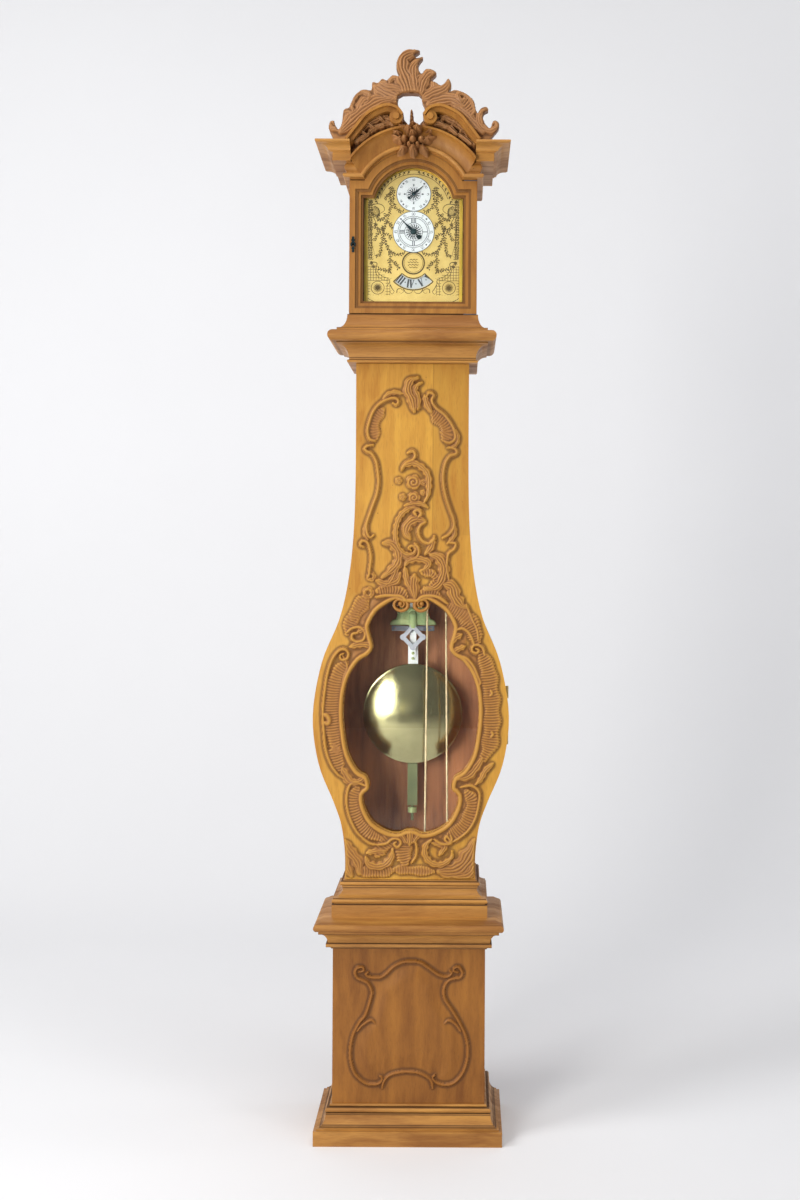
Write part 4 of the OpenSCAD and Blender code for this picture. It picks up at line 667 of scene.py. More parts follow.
# Lumps of the bunch: X, Z, half width, half height, turn, share of the depth, lobes, furrow, tip
BUNCH = [
    (-27, 1927, 9, 15, -62, 0.62, 5, 0.1, 0.35), (-31, 1941, 7, 12, -78, 0.55, 5, 0.1, 0.4),
    (27, 1928, 9, 15, 66, 0.62, 5, 0.1, 0.35), (33, 1945, 7, 13, 80, 0.55, 5, 0.1, 0.5),
    (-19, 1911, 8, 13, -140, 0.6, 5, 0.08, 0.3), (18, 1911, 8, 13, 140, 0.6, 5, 0.08, 0.3),
    (-23, 1951, 8, 11, -50, 0.6, 4, 0.1, 0.3), (22, 1953, 8, 11, 52, 0.6, 4, 0.1, 0.3),
    (-0.5, 1909, 9, 13, 180, 0.8, 7, 0.07, 0.1), (-17, 1928, 7, 7, 0, 0.84), (15, 1926, 7.2, 7.6, 20, 0.82),
    (-1, 1925, 8, 8.6, 0, 0.92), (-8, 1917, 5, 5, 0, 0.82), (8, 1916.5, 5, 5.4, 0, 0.82),
    (-8.6, 1946, 10.5, 10, 30, 0.93, 5, 0.06, 0), (7.5, 1946.5, 12, 10.5, -25, 0.98, 5, 0.06, 0),
    (-1, 1938, 9, 7, 0, 0.95, 5, 0.05, 0), (-0.5, 1956, 8, 6, 0, 0.8, 4, 0.08, 0),
    (-3.3, 1965.5, 4.4, 4.2, 0, 0.62), (-3.5, 1973, 3.7, 3.8, 0, 0.58),
    (-3.7, 1980.4, 2.9, 4.6, 0, 0.55, 0, 0, 0.3),
]

# Left half of the dial's engraving: leafy garlands and plain scrolls
GARLANDS = [
    [(-44.7, 1844.3), (-45.4, 1831.2), (-46, 1819.4), (-44.1, 1807.6), (-48.6, 1793.2), (-52.6, 1778.8),
     (-56.5, 1768.3), (-58.5, 1759.1)],
    [(-58.5, 1764.9), (-59.8, 1753.1), (-55.2, 1740), (-51.9, 1730.9), (-47.3, 1721.7), (-45.1, 1711.2),
     (-46.7, 1699.4), (-44.7, 1688.9), (-46, 1679.7)],
    [(-42.8, 1846.9), (-38.8, 1835.2), (-40.8, 1819.4), (-36.9, 1808.9), (-29.6, 1799.8), (-21.8, 1798.5)],
    [(-53.9, 1793.2), (-58.5, 1784), (-66.3, 1780.8), (-72.9, 1786.7)],
    [(-52.6, 1778.8), (-45.4, 1773.5), (-41.4, 1765.7)],
    [(-58.5, 1767), (-67.7, 1762.4), (-76.2, 1767)],
    [(-58.5, 1764.9), (-71.6, 1751.8), (-74.9, 1742.7)],
    [(-54.5, 1755.8), (-48, 1751.8), (-44.1, 1746.6)],
    [(-59.8, 1746.6), (-63.1, 1729.5), (-64.4, 1716.4), (-71.6, 1709.9)],
    [(-47.3, 1721.7), (-40.1, 1716.4), (-29.6, 1713.8), (-19.2, 1717.1)],
    [(-45.4, 1702), (-38.8, 1699.4), (-32.3, 1694.2), (-29, 1687.6)],
    [(-45.4, 1682.4), (-54.5, 1682.4), (-67.7, 1685.6)],
    [(-57.2, 1822), (-51.9, 1828.6), (-47.3, 1832.5)],
]
SCROLLS = [
    [(-80.8, 1811.6), (-69, 1812.9), (-59.8, 1808.9), (-57.2, 1801.1), (-62.4, 1795.8), (-66.3, 1794.5),
     (-67, 1799.8), (-74.2, 1805), (-80.8, 1803.7)],
    [(-78.1, 1806.3), (-75.5, 1808.3), (-72.9, 1805), (-75.5, 1802.4), (-77.9, 1804.3)],
    [(-79.5, 1795.8), (-78.1, 1785.3), (-74.2, 1776.2), (-82.1, 1772.2), (-84, 1759.1)],
    [(-84, 1772.8), (-83.4, 1749.2), (-80.8, 1730.9), (-76.2, 1713.8), (-82.1, 1707.3)],
    [(-84.7, 1699.4), (-71.6, 1696.8), (-74.2, 1681.1), (-67.7, 1669.3), (-54.5, 1664), (-41.4, 1667.9)],
    [(-32.3, 1639.1), (-31, 1645.7), (-24.4, 1647), (-19.2, 1641.7), (-24.4, 1637.8), (-27, 1640.4)],
    [(-19.2, 1646.3), (-13.9, 1639.1), (-6.1, 1638.5), (-1.5, 1643), (-6.1, 1645.7)],
    [(-45.4, 1654.8), (-41.4, 1647), (-37.5, 1641.7), (-41.4, 1636.5), (-45.4, 1641.7), (-42.1, 1643.7)],
]


# Materials

class Recipe:
    """Nodes of one material or group. Each method adds a node and gives what comes out of it."""

    def __init__(self, tree):
        self.tree = tree

    def feed(self, node, inputs):
        """Gives inputs of a node a value or another node's output."""
        for key, value in inputs.items():
            if isinstance(value, bpy.types.NodeSocket):
                self.tree.links.new(value, node.inputs[key])
            else:
                node.inputs[key].default_value = value

    def put(self, kind, inputs=None, **settings):
        node = self.tree.nodes.new(kind)
        for key, value in settings.items():
            setattr(node, key, value)
        self.feed(node, inputs or {})
        return node

    def calc(self, operation, *values, clamp=False):
        return self.put("ShaderNodeMath", dict(enumerate(values)), operation=operation, use_clamp=clamp).outputs[0]

    def plus(self, a, b, clamp=False):
        return self.calc("ADD", a, b, clamp=clamp)

    def minus(self, a, b):
        return self.calc("SUBTRACT", a, b)

    def times(self, a, b):
        return self.calc("MULTIPLY", a, b)

    def times_plus(self, a, b, c, clamp=False):
        return self.calc("MULTIPLY_ADD", a, b, c, clamp=clamp)

    def vector(self, operation, a, b):
        return self.put("ShaderNodeVectorMath", {0: a, 1: b}, operation=operation).outputs[0]

    def split(self, vector):
        return self.put("ShaderNodeSeparateXYZ", {0: vector}).outputs

    def mix(self, share, a, b):
        return self.put("ShaderNodeMix", {0: share, 6: a, 7: b}, data_type="RGBA").outputs[2]

    def noise(self, where, scale, detail=3.0, rough=0.55):
        inputs = {"Vector": where, "Scale": scale, "Detail": detail, "Roughness": rough}
        return self.put("ShaderNodeTexNoise", inputs).outputs[0]

    def remap(self, value, low, high, to_low=0.0, to_high=1.0):
        return self.put("ShaderNodeMapRange", {0: value, 1: low, 2: high, 3: to_low, 4: to_high}).outputs[0]

    def bump(self, shader, height, strength, distance):
        relief = self.put("ShaderNodeBump", {"Height": height, "Strength": strength, "Distance": distance})
        self.feed(shader, {"Normal": relief.outputs[0]})


def new_group(name, **inputs):
    """New shader node group with named inputs, which gives colour, roughness and height."""
    tree = bpy.data.node_groups.new(name, "ShaderNodeTree")
    for label, value in inputs.items():
        kind = "Float" if isinstance(value, float) else {3: "Vector", 4: "Color"}[len(value)]
        tree.interface.new_socket(label, in_out="INPUT", socket_type="NodeSocket" + kind).default_value = value
    for label, kind in (("Colour", "Color"), ("Roughness", "Float"), ("Height", "Float")):
        tree.interface.new_socket(label, in_out="OUTPUT", socket_type="NodeSocket" + kind)
    recipe = Recipe(tree)
    return recipe, recipe.put("NodeGroupInput").outputs


def fruitwood_group():
    """Fruitwood under old wax: flamed figure, fibres, pores, worm holes; in carving, dark wax with painted shade
    in the hollows and a painted highlight on the ridges.
    """
    r, i = new_group("fruitwood", Place=(0, 0, 0), Along=(1, 1, 0.08), Pale=(0.6, 0.3, 0.1, 1),
                     Deep=(0.3, 0.12, 0.03, 1), Wax=(0.05, 0.02, 0.01, 1), Figure=1.0, Relief=0.5, Patina=0.0,
                     Brown=(0.5, 0.22, 0.08, 1))
    run = r.vector("MULTIPLY", i["Place"], i["Along"])
    sway = r.put("ShaderNodeTexNoise", {"Vector": i["Place"], "Scale": 4.0, "Detail": 2.0}).outputs[1]
    bent = r.vector("ADD", run, r.vector("MULTIPLY", sway, (0.05, 0.05, 0.05)))
    figure = r.remap(r.noise(bent, 22.0, 4.0, 0.6), 0.32, 0.68)
    fibre = r.noise(run, 420.0, 2.0, 0.7)
    patch = r.remap(r.noise(i["Place"], 5.5), 0.3, 0.7)
    streak = r.remap(r.noise(bent, 78.0, 3.0, 0.5), 0.36, 0.66)
    fine = r.times_plus(fibre, 0.3, r.times_plus(streak, 0.26, -0.13))
    tone = r.plus(r.plus(r.times(figure, 0.5), r.times(patch, 0.3)), fine)
    tone = r.times_plus(r.minus(tone, 0.55), i["Figure"], 0.45, clamp=True)
    pores = r.put("ShaderNodeTexVoronoi", {"Vector": run, "Scale": 620.0}).outputs[0]
    pores = r.remap(pores, 0.12, 0.3, 0.24, 0.0)
    worm = r.put("ShaderNodeTexVoronoi", {"Vector": i["Place"], "Scale": 34.0}).outputs
    chance = r.put("ShaderNodeSeparateColor", {0: worm[1]}).outputs[0]
    holes = r.times(r.calc("LESS_THAN", worm[0], 0.03), r.calc("GREATER_THAN", chance, 0.72))
    # Low relief marks hollows and the foot of each cut: there dark wax and painted shade go on the wood
    hollow = r.remap(i["Relief"], 0.47, 0.17, 0.0, 0.82)
    colour = r.mix(tone, i["Pale"], i["Deep"])
    # Over the wood: brown patina on carving, dark wax in pores and worm holes, dark wax with painted shade in the
    # hollows, and a painted highlight towards the pale tone on ridges
    for share, over in ((r.times(i["Patina"], 0.85), "Brown"), (pores, "Wax"), (r.times(holes, 0.9), "Wax"),
                        (hollow, "Wax"), (r.remap(i["Relief"], 0.56, 0.9, 0.0, 0.5), "Pale")):
        colour = r.mix(share, colour, i[over])
    rough = r.times_plus(tone, 0.2, r.times_plus(hollow, 0.25, 0.38))
    height = r.times_plus(fibre, 0.6, r.times(figure, 0.4))
    height = r.minus(height, r.plus(pores, r.times(holes, 2.0)))
    r.put("NodeGroupOutput", {0: colour, 1: rough, 2: height})
    return r.tree


def old_metal_group():
    """Metal with cloudy tarnish, dark specks and fine scratches."""
    r, i = new_group("old_metal", Place=(0, 0, 0), Bright=(0.8, 0.6, 0.3, 1), Tarnish=(0.3, 0.25, 0.12, 1),
                     Age=0.4, Polish=0.25)
    cloud = r.remap(r.noise(i["Place"], 28.0, 5.0, 0.62), 0.38, 0.72)
    speck = r.remap(r.noise(i["Place"], 420.0, 2.0), 0.62, 0.74)
    age = r.times(r.calc("MAXIMUM", cloud, r.times(speck, 0.8)), i["Age"])
    marks = r.noise(r.vector("MULTIPLY", i["Place"], (1, 1, 14)), 160.0, 3.0, 0.7)
    rough = r.times_plus(marks, 0.06, r.times_plus(age, 0.35, i["Polish"]))
    r.put("NodeGroupOutput", {0: r.mix(age, i["Bright"], i["Tarnish"]), 1: rough, 2: marks})
    return r.tree


def new_material(name, **values):
    """Empty material with its shader; constant values sit on the shader's own sockets."""
    material = bpy.data.materials.new(name)
    material.use_nodes = True
    recipe = Recipe(material.node_tree)
    shader = material.node_tree.nodes["Principled BSDF"]
    for key, value in values.items():
        shader.inputs[key.replace("_", " ").title().replace("Ior", "IOR")].default_value = value
    return material, recipe, shader, recipe.put("ShaderNodeTexCoord").outputs["Object"]


def join_surface(recipe, shader, source, strength):
    """Joins a surface group to the shader."""
    colour, rough, height = source.outputs
    recipe.feed(shader, {"Base Color": colour, "Roughness": rough})
    recipe.bump(shader, height, strength, 0.0006)


FRUITWOOD = fruitwood_group()
OLD_METAL = old_metal_group()
UPRIGHT = (1, 1, 0.07)
LEVEL = (0.07, 1, 1)
SEAM_X = 0.0405
SEAM_FOOT = 1.165


def wood(name, along, pale, deep, figure=1.0, brown=None, joint=False, quirks=(), treads=()):
    """Fruitwood of one board. Carved wood has a brown, which its cuts have darkened to."""
    material, r, shader, place = new_material(name, specular_ior_level=0.28)
    source = r.put("ShaderNodeGroup", {"Along": along, "Deep": deep, "Wax": (0.055, 0.022, 0.008, 1),
                                       "Figure": figure}, node_tree=FRUITWOOD)
    if joint:
        # Two boards are glued up: the right one is a little darker, with its own figure
        x, _, z = r.split(place)
        right = r.calc("GREATER_THAN", x, SEAM_X)
        shift = r.put("ShaderNodeCombineXYZ", {0: r.times(right, 0.31)}).outputs[0]
        place = r.vector("ADD", place, shift)
        seam = r.calc("LESS_THAN", r.calc("ABSOLUTE", r.minus(x, SEAM_X)), 0.0007)
        dark = r.calc("MAXIMUM", r.times(right, 0.32), r.times(seam, 0.8))
        dark = r.times(dark, r.calc("GREATER_THAN", z, SEAM_FOOT))
        pale = r.mix(dark, pale, [c * 0.45 for c in pale[:3]] + [1])
    r.feed(source, {"Place": place, "Pale": pale})
    if quirks or treads:
        # Old wax and painted shade darken the quirks of the mouldings, at these heights in millimetres,
        # and the steps of the door, at these depths
        _, y, z = r.split(place)
        quirk_wax_and_shade = 0.0
        for axis, level, spread in [(z, q, 0.0016) for q in quirks] + [(y, t, 0.0009) for t in treads]:
            near = r.calc("ABSOLUTE", r.minus(axis, level / 1000))
            quirk_wax_and_shade = r.calc("MAXIMUM", quirk_wax_and_shade, r.times_plus(near, -1 / spread, 1.0, clamp=True))
        r.feed(source, {"Relief": r.times_plus(quirk_wax_and_shade, -0.4 if quirks else -0.22, 0.5)})
    if brown:
        for label in ("Relief", "Patina"):
            read = r.put("ShaderNodeAttribute", attribute_name=label.lower())
            r.feed(source, {label: read.outputs["Fac"]})
        r.feed(source, {"Brown": brown})
    join_surface(r, shader, source, 0.35)
    return material


def metal(name, bright, tarnish, age, polish, bump=0.15, metallic=1.0, below=None):
    """Old metal. Below a given height, the same piece can have another pair of tones."""
    material, r, shader, place = new_material(name, metallic=metallic)
    source = r.put("ShaderNodeGroup", {"Place": place, "Bright": bright, "Tarnish": tarnish,
                                       "Age": age, "Polish": polish}, node_tree=OLD_METAL)
    if below:
        height, low_bright, low_tarnish = below
        under = r.calc("LESS_THAN", r.split(place)[2], height)
        r.feed(source, {"Bright": r.mix(under, bright, low_bright), "Tarnish": r.mix(under, tarnish, low_tarnish)})
    join_surface(r, shader, source, bump)
    return material


def pane(name):
    """Old glass: clear, with faint smears; its shadow is clear too."""
    material, r, shader, place = new_material(name, metallic=0.0, transmission_weight=1.0, ior=1.45,
                                              specular_ior_level=0.3)
    tint = r.remap(r.noise(place, 9.0), 0.3, 0.7)
    r.feed(shader, {"Base Color": r.mix(tint, (0.97, 0.985, 0.975, 1), (0.93, 0.96, 0.945, 1)),
                    "Roughness": r.remap(r.noise(place, 30.0, 5.0), 0.45, 0.8, 0.0, 0.05)})
    clear = r.put("ShaderNodeBsdfTransparent", {0: (0.95, 0.97, 0.96, 1)})
    shade = r.put("ShaderNodeLightPath").outputs["Is Shadow Ray"]
    both = r.put("ShaderNodeMixShader", {0: shade, 1: shader.outputs[0], 2: clear.outputs[0]})
    r.feed(r.tree.nodes["Material Output"], {0: both.outputs[0]})
    return material


def thread(name, pale, deep):
    """Twisted gut: fibres along the strand, dirt in the lay."""
    material, r, shader, place = new_material(name, metallic=0.0)
    fibre = r.noise(r.vector("MULTIPLY", place, (1, 1, 0.3)), 1500.0)
    dirt = r.remap(r.noise(place, 60.0, 4.0), 0.4, 0.75, 0.0, 0.6)
    r.feed(shader, {"Base Color": r.mix(r.plus(r.times(fibre, 0.5), dirt, clamp=True), pale, deep),
                    "Roughness": r.remap(fibre, 0.0, 1.0, 0.55, 0.85)})
    r.bump(shader, fibre, 0.4, 0.0003)
    return material


HONEY = (0.6, 0.315, 0.045, 1)
HOOD_TONES = ((0.4, 0.18, 0.035, 1), (0.24, 0.09, 0.015, 1), 1.5)
PANEL_TONES = ((1, 1, 0.12), (0.33, 0.13, 0.02, 1), (0.16, 0.052, 0.008, 1), 1.25)

door_wood = wood("honey_fruitwood_door", UPRIGHT, HONEY, (0.4, 0.17, 0.02, 1), 1.5, joint=True)
case_wood = wood("honey_fruitwood_upright", UPRIGHT, (0.38, 0.16, 0.03, 1), (0.2, 0.07, 0.012, 1), 1.6)
panel_wood = wood("flamed_fruitwood_panel", *PANEL_TONES)
hood_wood = wood("honey_fruitwood_hood", UPRIGHT, *HOOD_TONES)
hood_door_wood = wood("honey_fruitwood_hood_door", UPRIGHT, *HOOD_TONES, treads=(-58.5, -52.5))
moulding_wood = wood("honey_fruitwood_level", LEVEL, (0.5, 0.24, 0.055, 1), (0.25, 0.097, 0.02, 1), 1.7,
                     quirks=(33, 35.5, 53.5, 56.4, 66.1, 370, 374, 381, 401.5, 449.8, 460.8, 479, 483.6,
                             491.4, 1504.5, 1508.3, 1536, 1564, 1592))
carved_wood = wood("carved_fruitwood", UPRIGHT, HONEY, (0.42, 0.185, 0.022, 1), 1.3,
                   (0.3, 0.122, 0.033, 1), joint=True)
crest_wood = wood("carved_fruitwood_crest", UPRIGHT, (0.42, 0.205, 0.072, 1), (0.25, 0.11, 0.038, 1), 1.3,
                  (0.33, 0.15, 0.055, 1))
bead_wood = wood("flamed_fruitwood_bead", *PANEL_TONES, (0.24, 0.088, 0.018, 1))
crest_board = wood("fruitwood_crest_board", UPRIGHT, (0.36, 0.17, 0.06, 1), (0.2, 0.085, 0.028, 1))
inner_wood = wood("red_brown_inner_board", UPRIGHT, (0.46, 0.18, 0.07, 1), (0.2, 0.068, 0.027, 1), 1.9)

gilt_brass = metal("gilt_dial_brass", (0.55, 0.405, 0.15, 1), (0.34, 0.225, 0.06, 1), 0.4, 0.45)
bezel_brass = metal("gilt_bezel_brass", (0.6, 0.41, 0.07, 1), (0.34, 0.21, 0.03, 1), 0.5, 0.32)
bob_brass = metal("polished_bob_brass", (0.52, 0.47, 0.25, 1), (0.32, 0.28, 0.13, 1), 0.35, 0.1, 0.02)
green_brass = metal("green_old_brass", (0.46, 0.52, 0.24, 1), (0.24, 0.36, 0.17, 1), 0.9, 0.5, metallic=0.35)
plain_brass = metal("work_brass", (0.68, 0.5, 0.22, 1), (0.34, 0.25, 0.1, 1), 0.5, 0.3)
grey_steel = metal("grey_steel", (0.5, 0.51, 0.53, 1), (0.26, 0.26, 0.27, 1), 0.5, 0.35)
link_steel = metal("link_steel", (0.42, 0.42, 0.47, 1), (0.24, 0.24, 0.27, 1), 0.6, 0.4, metallic=0.8)
rod_steel = metal("bright_rod_steel", (0.78, 0.79, 0.8, 1), (0.5, 0.5, 0.5, 1), 0.5, 0.4, metallic=0.5,
                  below=(0.72, (0.16, 0.175, 0.08, 1), (0.08, 0.095, 0.045, 1)))
dark_steel = metal("dark_bar_steel", (0.13, 0.13, 0.15, 1), (0.06, 0.06, 0.07, 1), 0.6, 0.45, metallic=0.6)
blued_steel = metal("blued_hand_steel", (0.025, 0.045, 0.05, 1), (0.012, 0.014, 0.02, 1), 0.5, 0.3)
disc_silvering = metal("silvered_hour_disc", (0.34, 0.36, 0.385, 1), (0.26, 0.275, 0.29, 1), 0.4, 0.6,
                       metallic=0.1)
silvering = metal("silvered_ring", (0.5, 0.51, 0.53, 1), (0.38, 0.4, 0.42, 1), 0.4, 0.6, metallic=0.1)
black_wax = metal("dial_wax", (0.045, 0.025, 0.004, 1), (0.08, 0.047, 0.008, 1), 0.7, 0.8, metallic=0.0)
grey_wax = metal("ring_wax", (0.022, 0.024, 0.03, 1), (0.05, 0.055, 0.065, 1), 0.6, 0.6, metallic=0.0)
old_glass = pane("old_glass")
gut = thread("twisted_gut", (0.72, 0.58, 0.36, 1), (0.4, 0.28, 0.14, 1))

FINISH = {
    moulding_wood: "plinth_moulding base_cornice waist_foot throat_moulding hood_base hood_bead hood_cornice",
    panel_wood: "base_front",
    case_wood: "base_sides waist_sides",
    inner_wood: "back_board seat_board hood_roof",
    door_wood: "waist_rails waist_door",
    hood_wood: "hood_sides hood_head hood_frieze swan_necks",
    hood_door_wood: "hood_door",
    crest_board: "crest pediment_flowers",
    old_glass: "waist_glass hood_glass",
    gilt_brass: "dial_plate",
    bezel_brass: "dial_bezel",
    silvering: "seconds_ring minute_ring",
    disc_silvering: "hour_disc",
    plain_brass: "hinge_plates waist_hinge_leaves waist_bolt hood_bolt cannon_wheel minute_wheel"
                 " movement_plates plate_pillars train_wheels barrel back_cock pulley weight",
    green_brass: "yoke rating_nut",
    grey_steel: "waist_lock hood_lock anchor suspension_spring pulley_stirrup",
    dark_steel: "hood_straps bimetal_bar",
    blued_steel: "hood_escutcheon seconds_hand minute_hand",
    rod_steel: "pendulum_rod",
    link_steel: "lozenge",
    gut: "barrel_cord cord_loop",
}
for material, names in FINISH.items():
    for name in names.split():
        nodes[name].data.materials.clear()
        nodes[name].data.materials.append(material)


def soften(piece, degrees=32):
    """Rounds the look of a CAD node's curved faces and keeps its arrises."""
    piece.data.polygons.foreach_set("use_smooth", [True] * len(piece.data.polygons))
    piece.modifiers.new("join", "WELD").merge_threshold = 1e-6
    piece.modifiers.new("arris", "EDGE_SPLIT").split_angle = math.radians(degrees)


for name in nodes:
    soften(nodes[name])


# Carved work

def carve_door():
    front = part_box("waist_door")[0].y
    outline, window = face_loops("waist_door", front)[:2]
    work = Carving(-192, 192, 494, 1490)
    work.belt(window, 30, 1.9)
    work.strokes(DOOR_CARVING)
    for rose in DOOR_FLOWERS:
        work.flower(*rose)
    edge = inset(work.x, work.z, outline) - 0.6
    work.trim(np.minimum(edge, -inset(work.x, work.z, window) - 0.4), 2.6)
    work.bead(window, 5.0, 4.6, 5.6)
    work.trim(edge, 1.0)
    work.skin("door_carving", front, "waist_door", carved_wood)


def carve_volutes():
    """The window's edge rolls up at the top into two volutes that stand over the glass."""
    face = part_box("waist_door")[0].y + 0.001
    path = dense(VOLUTE, 1.2)
    t = np.linspace(0, 1, len(path))
    wide = np.interp(t, [0, 0.12, 0.45, 0.8, 1], [1.2, 3.4, 4.2, 2.9, 2.0])
    deep = np.interp(t, [0, 0.12, 0.45, 0.8, 1], [1.5, 4.2, 5.6, 6.4, 6.8])
    parts = []
    for s, shift in ((1, 0.0), (-1, -1.2)):
        line = np.stack([s * path[:, 0] + shift, path[:, 1]], 1)
        parts.append(roll(line, wide, deep, face))
        parts.append(lump(s * -21.2 + shift, 1031, 5.0, 5.0, 0, 7.5, face))
    add_carved("window_volutes", parts, "waist_door", carved_wood)


def carve_bunch():
    """Double blossom over fruit and leaves where the two scrolls meet, with a small bud on top."""
    front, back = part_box("pediment_flowers")[0].y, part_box("pediment_flowers")[1].y
    deep = (back - front) / MM
    parts = [lump(*item[:5], item[5] * deep, back, *item[6:]) for item in BUNCH]
    bunch = add_carved("pediment_bunch", parts, "hood", crest_wood)
    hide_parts("pediment_flowers")


def carve_crest():
    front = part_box("crest")[0].y
    work = Carving(-166, 168, 1920, 2100)
    work.strokes(CREST_CARVING)
    loops = face_loops("crest", front)
    inside = np.max([inset(work.x, work.z, loop) for loop in loops if len(loop) > 12], axis=0)
    work.height = np.where(inside > 0, np.maximum(work.height, 0.35 * smoothstep(inside / 3)), work.height)
    work.trim(inside - 0.3, 1.6)
    work.skin("crest_carving", front, "hood", crest_wood, 4.2)


def carve_tympanum():
    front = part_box("hood_head")[0].y
    work = Carving(-128, 128, 1905, 1980)
    for width, height, points in TYMPANUM_CARVING:
        work.stroke("lined", width, 3.2 * height, points)
    work.trim(np.hypot(work.x - ARCH[0], work.z - ARCH[1]) - 152.5, 2.0)
    work.skin("tympanum_foliage", front, "hood", crest_wood, 4.5)


def carve_panel():
    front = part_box("base_front")[0].y
    work = Carving(-130, 130, 84, 362)
    for width, height, points in PANEL_BEAD:
        work.stroke("round", 0.74 * width, height, points)
    top, left, right, foot = [points for _, _, points in PANEL_BEAD[:4]]
    work.field(dense(top + right[1:] + foot[::-1] + left[:0:-1] + top[:1], 3), 2.8, 30)
    work.skin("panel_bead", front, "case", bead_wood)


# Dial

def draw_left_half(art):
    """Engraving that the dial has on both sides: garlands, scrolls, trellis and border."""
    rose_x, rose_z = CORNER_ROSE
    for line in GARLANDS:
        art.spray(line, 4.0, 5.6, 0.8)
    for line in SCROLLS:
        art.cut(line, 1.9, "tail")
    for x in (-86.5, -82):
        art.spray([(x, 1704), (x - 0.8, 1760), (x, 1818)], 3.4, 4.2, 1.0)

    # Corner rose in a trellis
    art.circle(CORNER_ROSE, 12.6, 1.3)
    art.star(CORNER_ROSE, 20, 10.4, 1.3)
    for k in range(9):
        x, top = -89 + 5.4 * k, 1692 - 3.6 * k
        if abs(x - rose_x) < 14:
            art.cut([(x, 1634), (x, rose_z - 14)], 0.9)
            art.cut([(x, rose_z + 14), (x, top)], 0.9)
        else:
            art.cut([(x, 1634), (x, top)], 0.9)
    for k in range(11):
        z = 1636 + 5.4 * k
        ends = ((-89, -84.5), (-54.5, -46))
        if abs(z - rose_z) > 14:
            ends = ((-89, -89 + 5.4 * min(8, (60 - 5.4 * k) / 3.6)),)
        for left, right in ends:
            art.cut([(left, z), (right, z)], 0.9)

    # Leaves round the arch, and the border at the side
    for r, first in ((74, 4), (79, 0)):
        for a in range(first, 76, 7):
            root = polar(ARCH, r, -a - 2)
            art.leaf(root, -a - 118, 6.0, 2.6)
            art.leaf(root, -a - 62, 5.6, 2.4)
    art.cut([polar(ARCH, 70, -a) for a in range(0, 78, 6)], 1.2)
    art.cut([(-90.5, 1704), (-91, 1760), (-90.5, 1818)], 1.6)
    for k in range(34):
        sway = 1.2 * (k % 2)
        art.cut([(-90 + sway, 1706 + 3.4 * k), (-80 - sway, 1708 + 3.4 * k)], 0.8)
    for k in range(9):
        art.circle((-75.5 + 0.9 * k, 1799 - 1.1 * k), 8.5 - 0.8 * k, 0.9, 200, 520)
    for flower in ((-84, 1817), (-82, 1697), (-78, 1690), (-74, 1772)):
        art.star(flower, 6, 4.6, 2.2)
    art.cut([(-52, 1650), (-46, 1663), (-52, 1668), (-62, 1672), (-70, 1680), (-74, 1692)], 1.0)


def engrave_plate():
    art = Engraving(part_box("dial_plate")[0].y, 1.35)
    art.mirror(lambda: draw_left_half(art))
    art.circle(CARTOUCHE, 21.2, 3.0)
    art.circle(CARTOUCHE, 18.0, 0.8)
    for rise, reach in ((6.5, 8), (1.5, 11), (-3.5, 11), (-8.5, 8)):
        art.cut([(x, CARTOUCHE[1] + rise + 1.1 * math.sin(1.1 * x + rise))
                 for x in np.arange(-reach, reach + 0.1, 1.6)], 1.3)
    art.circle(HOURS, 53.2, 2.4, 133, 227)
    art.circle(HOURS, 30.2, 1.8, 135, 225)
    for side in (-46.5, 46.5):
        art.ray(HOURS, 30, 53.6, 180 + side, 2.0)
    art.cut([(-92, 1800), (-92, 1631), (92, 1631), (92, 1800)], 1.2)
    art.done("dial_engraving", black_wax, "case")


def engrave_seconds():
    art = Engraving(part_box("seconds_ring")[0].y, 1.6)
    # Dark circle at the ring's outer edge: painted shadow of the gap between ring and plate
    art.circle(SECONDS, 33.2, 0.9)
    art.fives(SECONDS, 27.9, 4.2, 0.6)
    for turn in (0, 90, 180, 270):
        art.ray(SECONDS, 14.6, 20.4, turn, 2.4, "leaf")
        art.ray(polar(SECONDS, 17.6, turn), -2.2, 2.2, turn + 90, 1.4, "leaf")
    art.rosette(SECONDS, 4, 13.5, 14)
    art.rosette(SECONDS, 2.5, 8, 9)
    art.circle(SECONDS, 13.9, 0.5)
    art.done("seconds_figures", grey_wax, "case")


def engrave_minutes():
    art = Engraving(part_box("minute_ring")[0].y, 1.5)
    # The circle at 40.1 mm, at the ring's outer edge, is painted shadow of the gap between ring and plate; the
    # others are engraved lines
    for r, width in ((40.1, 0.9), (30.6, 0.9), (27.2, 0.9), (17.6, 1.0)):
        art.circle(MINUTES, r, width)
    for k in range(60):
        art.ray(MINUTES, 27.4, 30.4, 6 * k, 0.35)
    art.fives(MINUTES, 35, 5.2, 0.65)
    for turn, offsets in ((0, (-4, -1.4, 1.4, 4)), (90, (0,)), (180, (-1.6, 1.6)), (270, (-2.6, 0, 2.6))):
        for offset in offsets:
            art.ray(polar(MINUTES, offset, turn + 90), 17.5, 27, turn, 1.5)
    art.rosette(MINUTES, 6, 17, 18)
    art.rosette(MINUTES, 5.5, 11.5, 11)
    art.done("minute_figures", grey_wax, "case")


def engrave_hours():
    """Numerals on the turning disc, upright in the window below, with a small star between each two."""
    art = Engraving(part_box("hour_disc")[0].y, 2.2)
    for k, numeral in enumerate("I II III IV V VI VII VIII IX X XI XII".split()):
        turn = 30 * (k - 3) - 8
        art.figure(numeral, polar(HOURS, -41, -turn), 15.5, -turn, 1.15, NUMERALS)
        star = polar(HOURS, -41, -turn - 15)
        for spin in (90, 30, -30):
            art.ray(star, -1.7, 1.7, spin, 0.9, "leaf")
    art.done("hour_numerals", grey_wax, "hour_work")


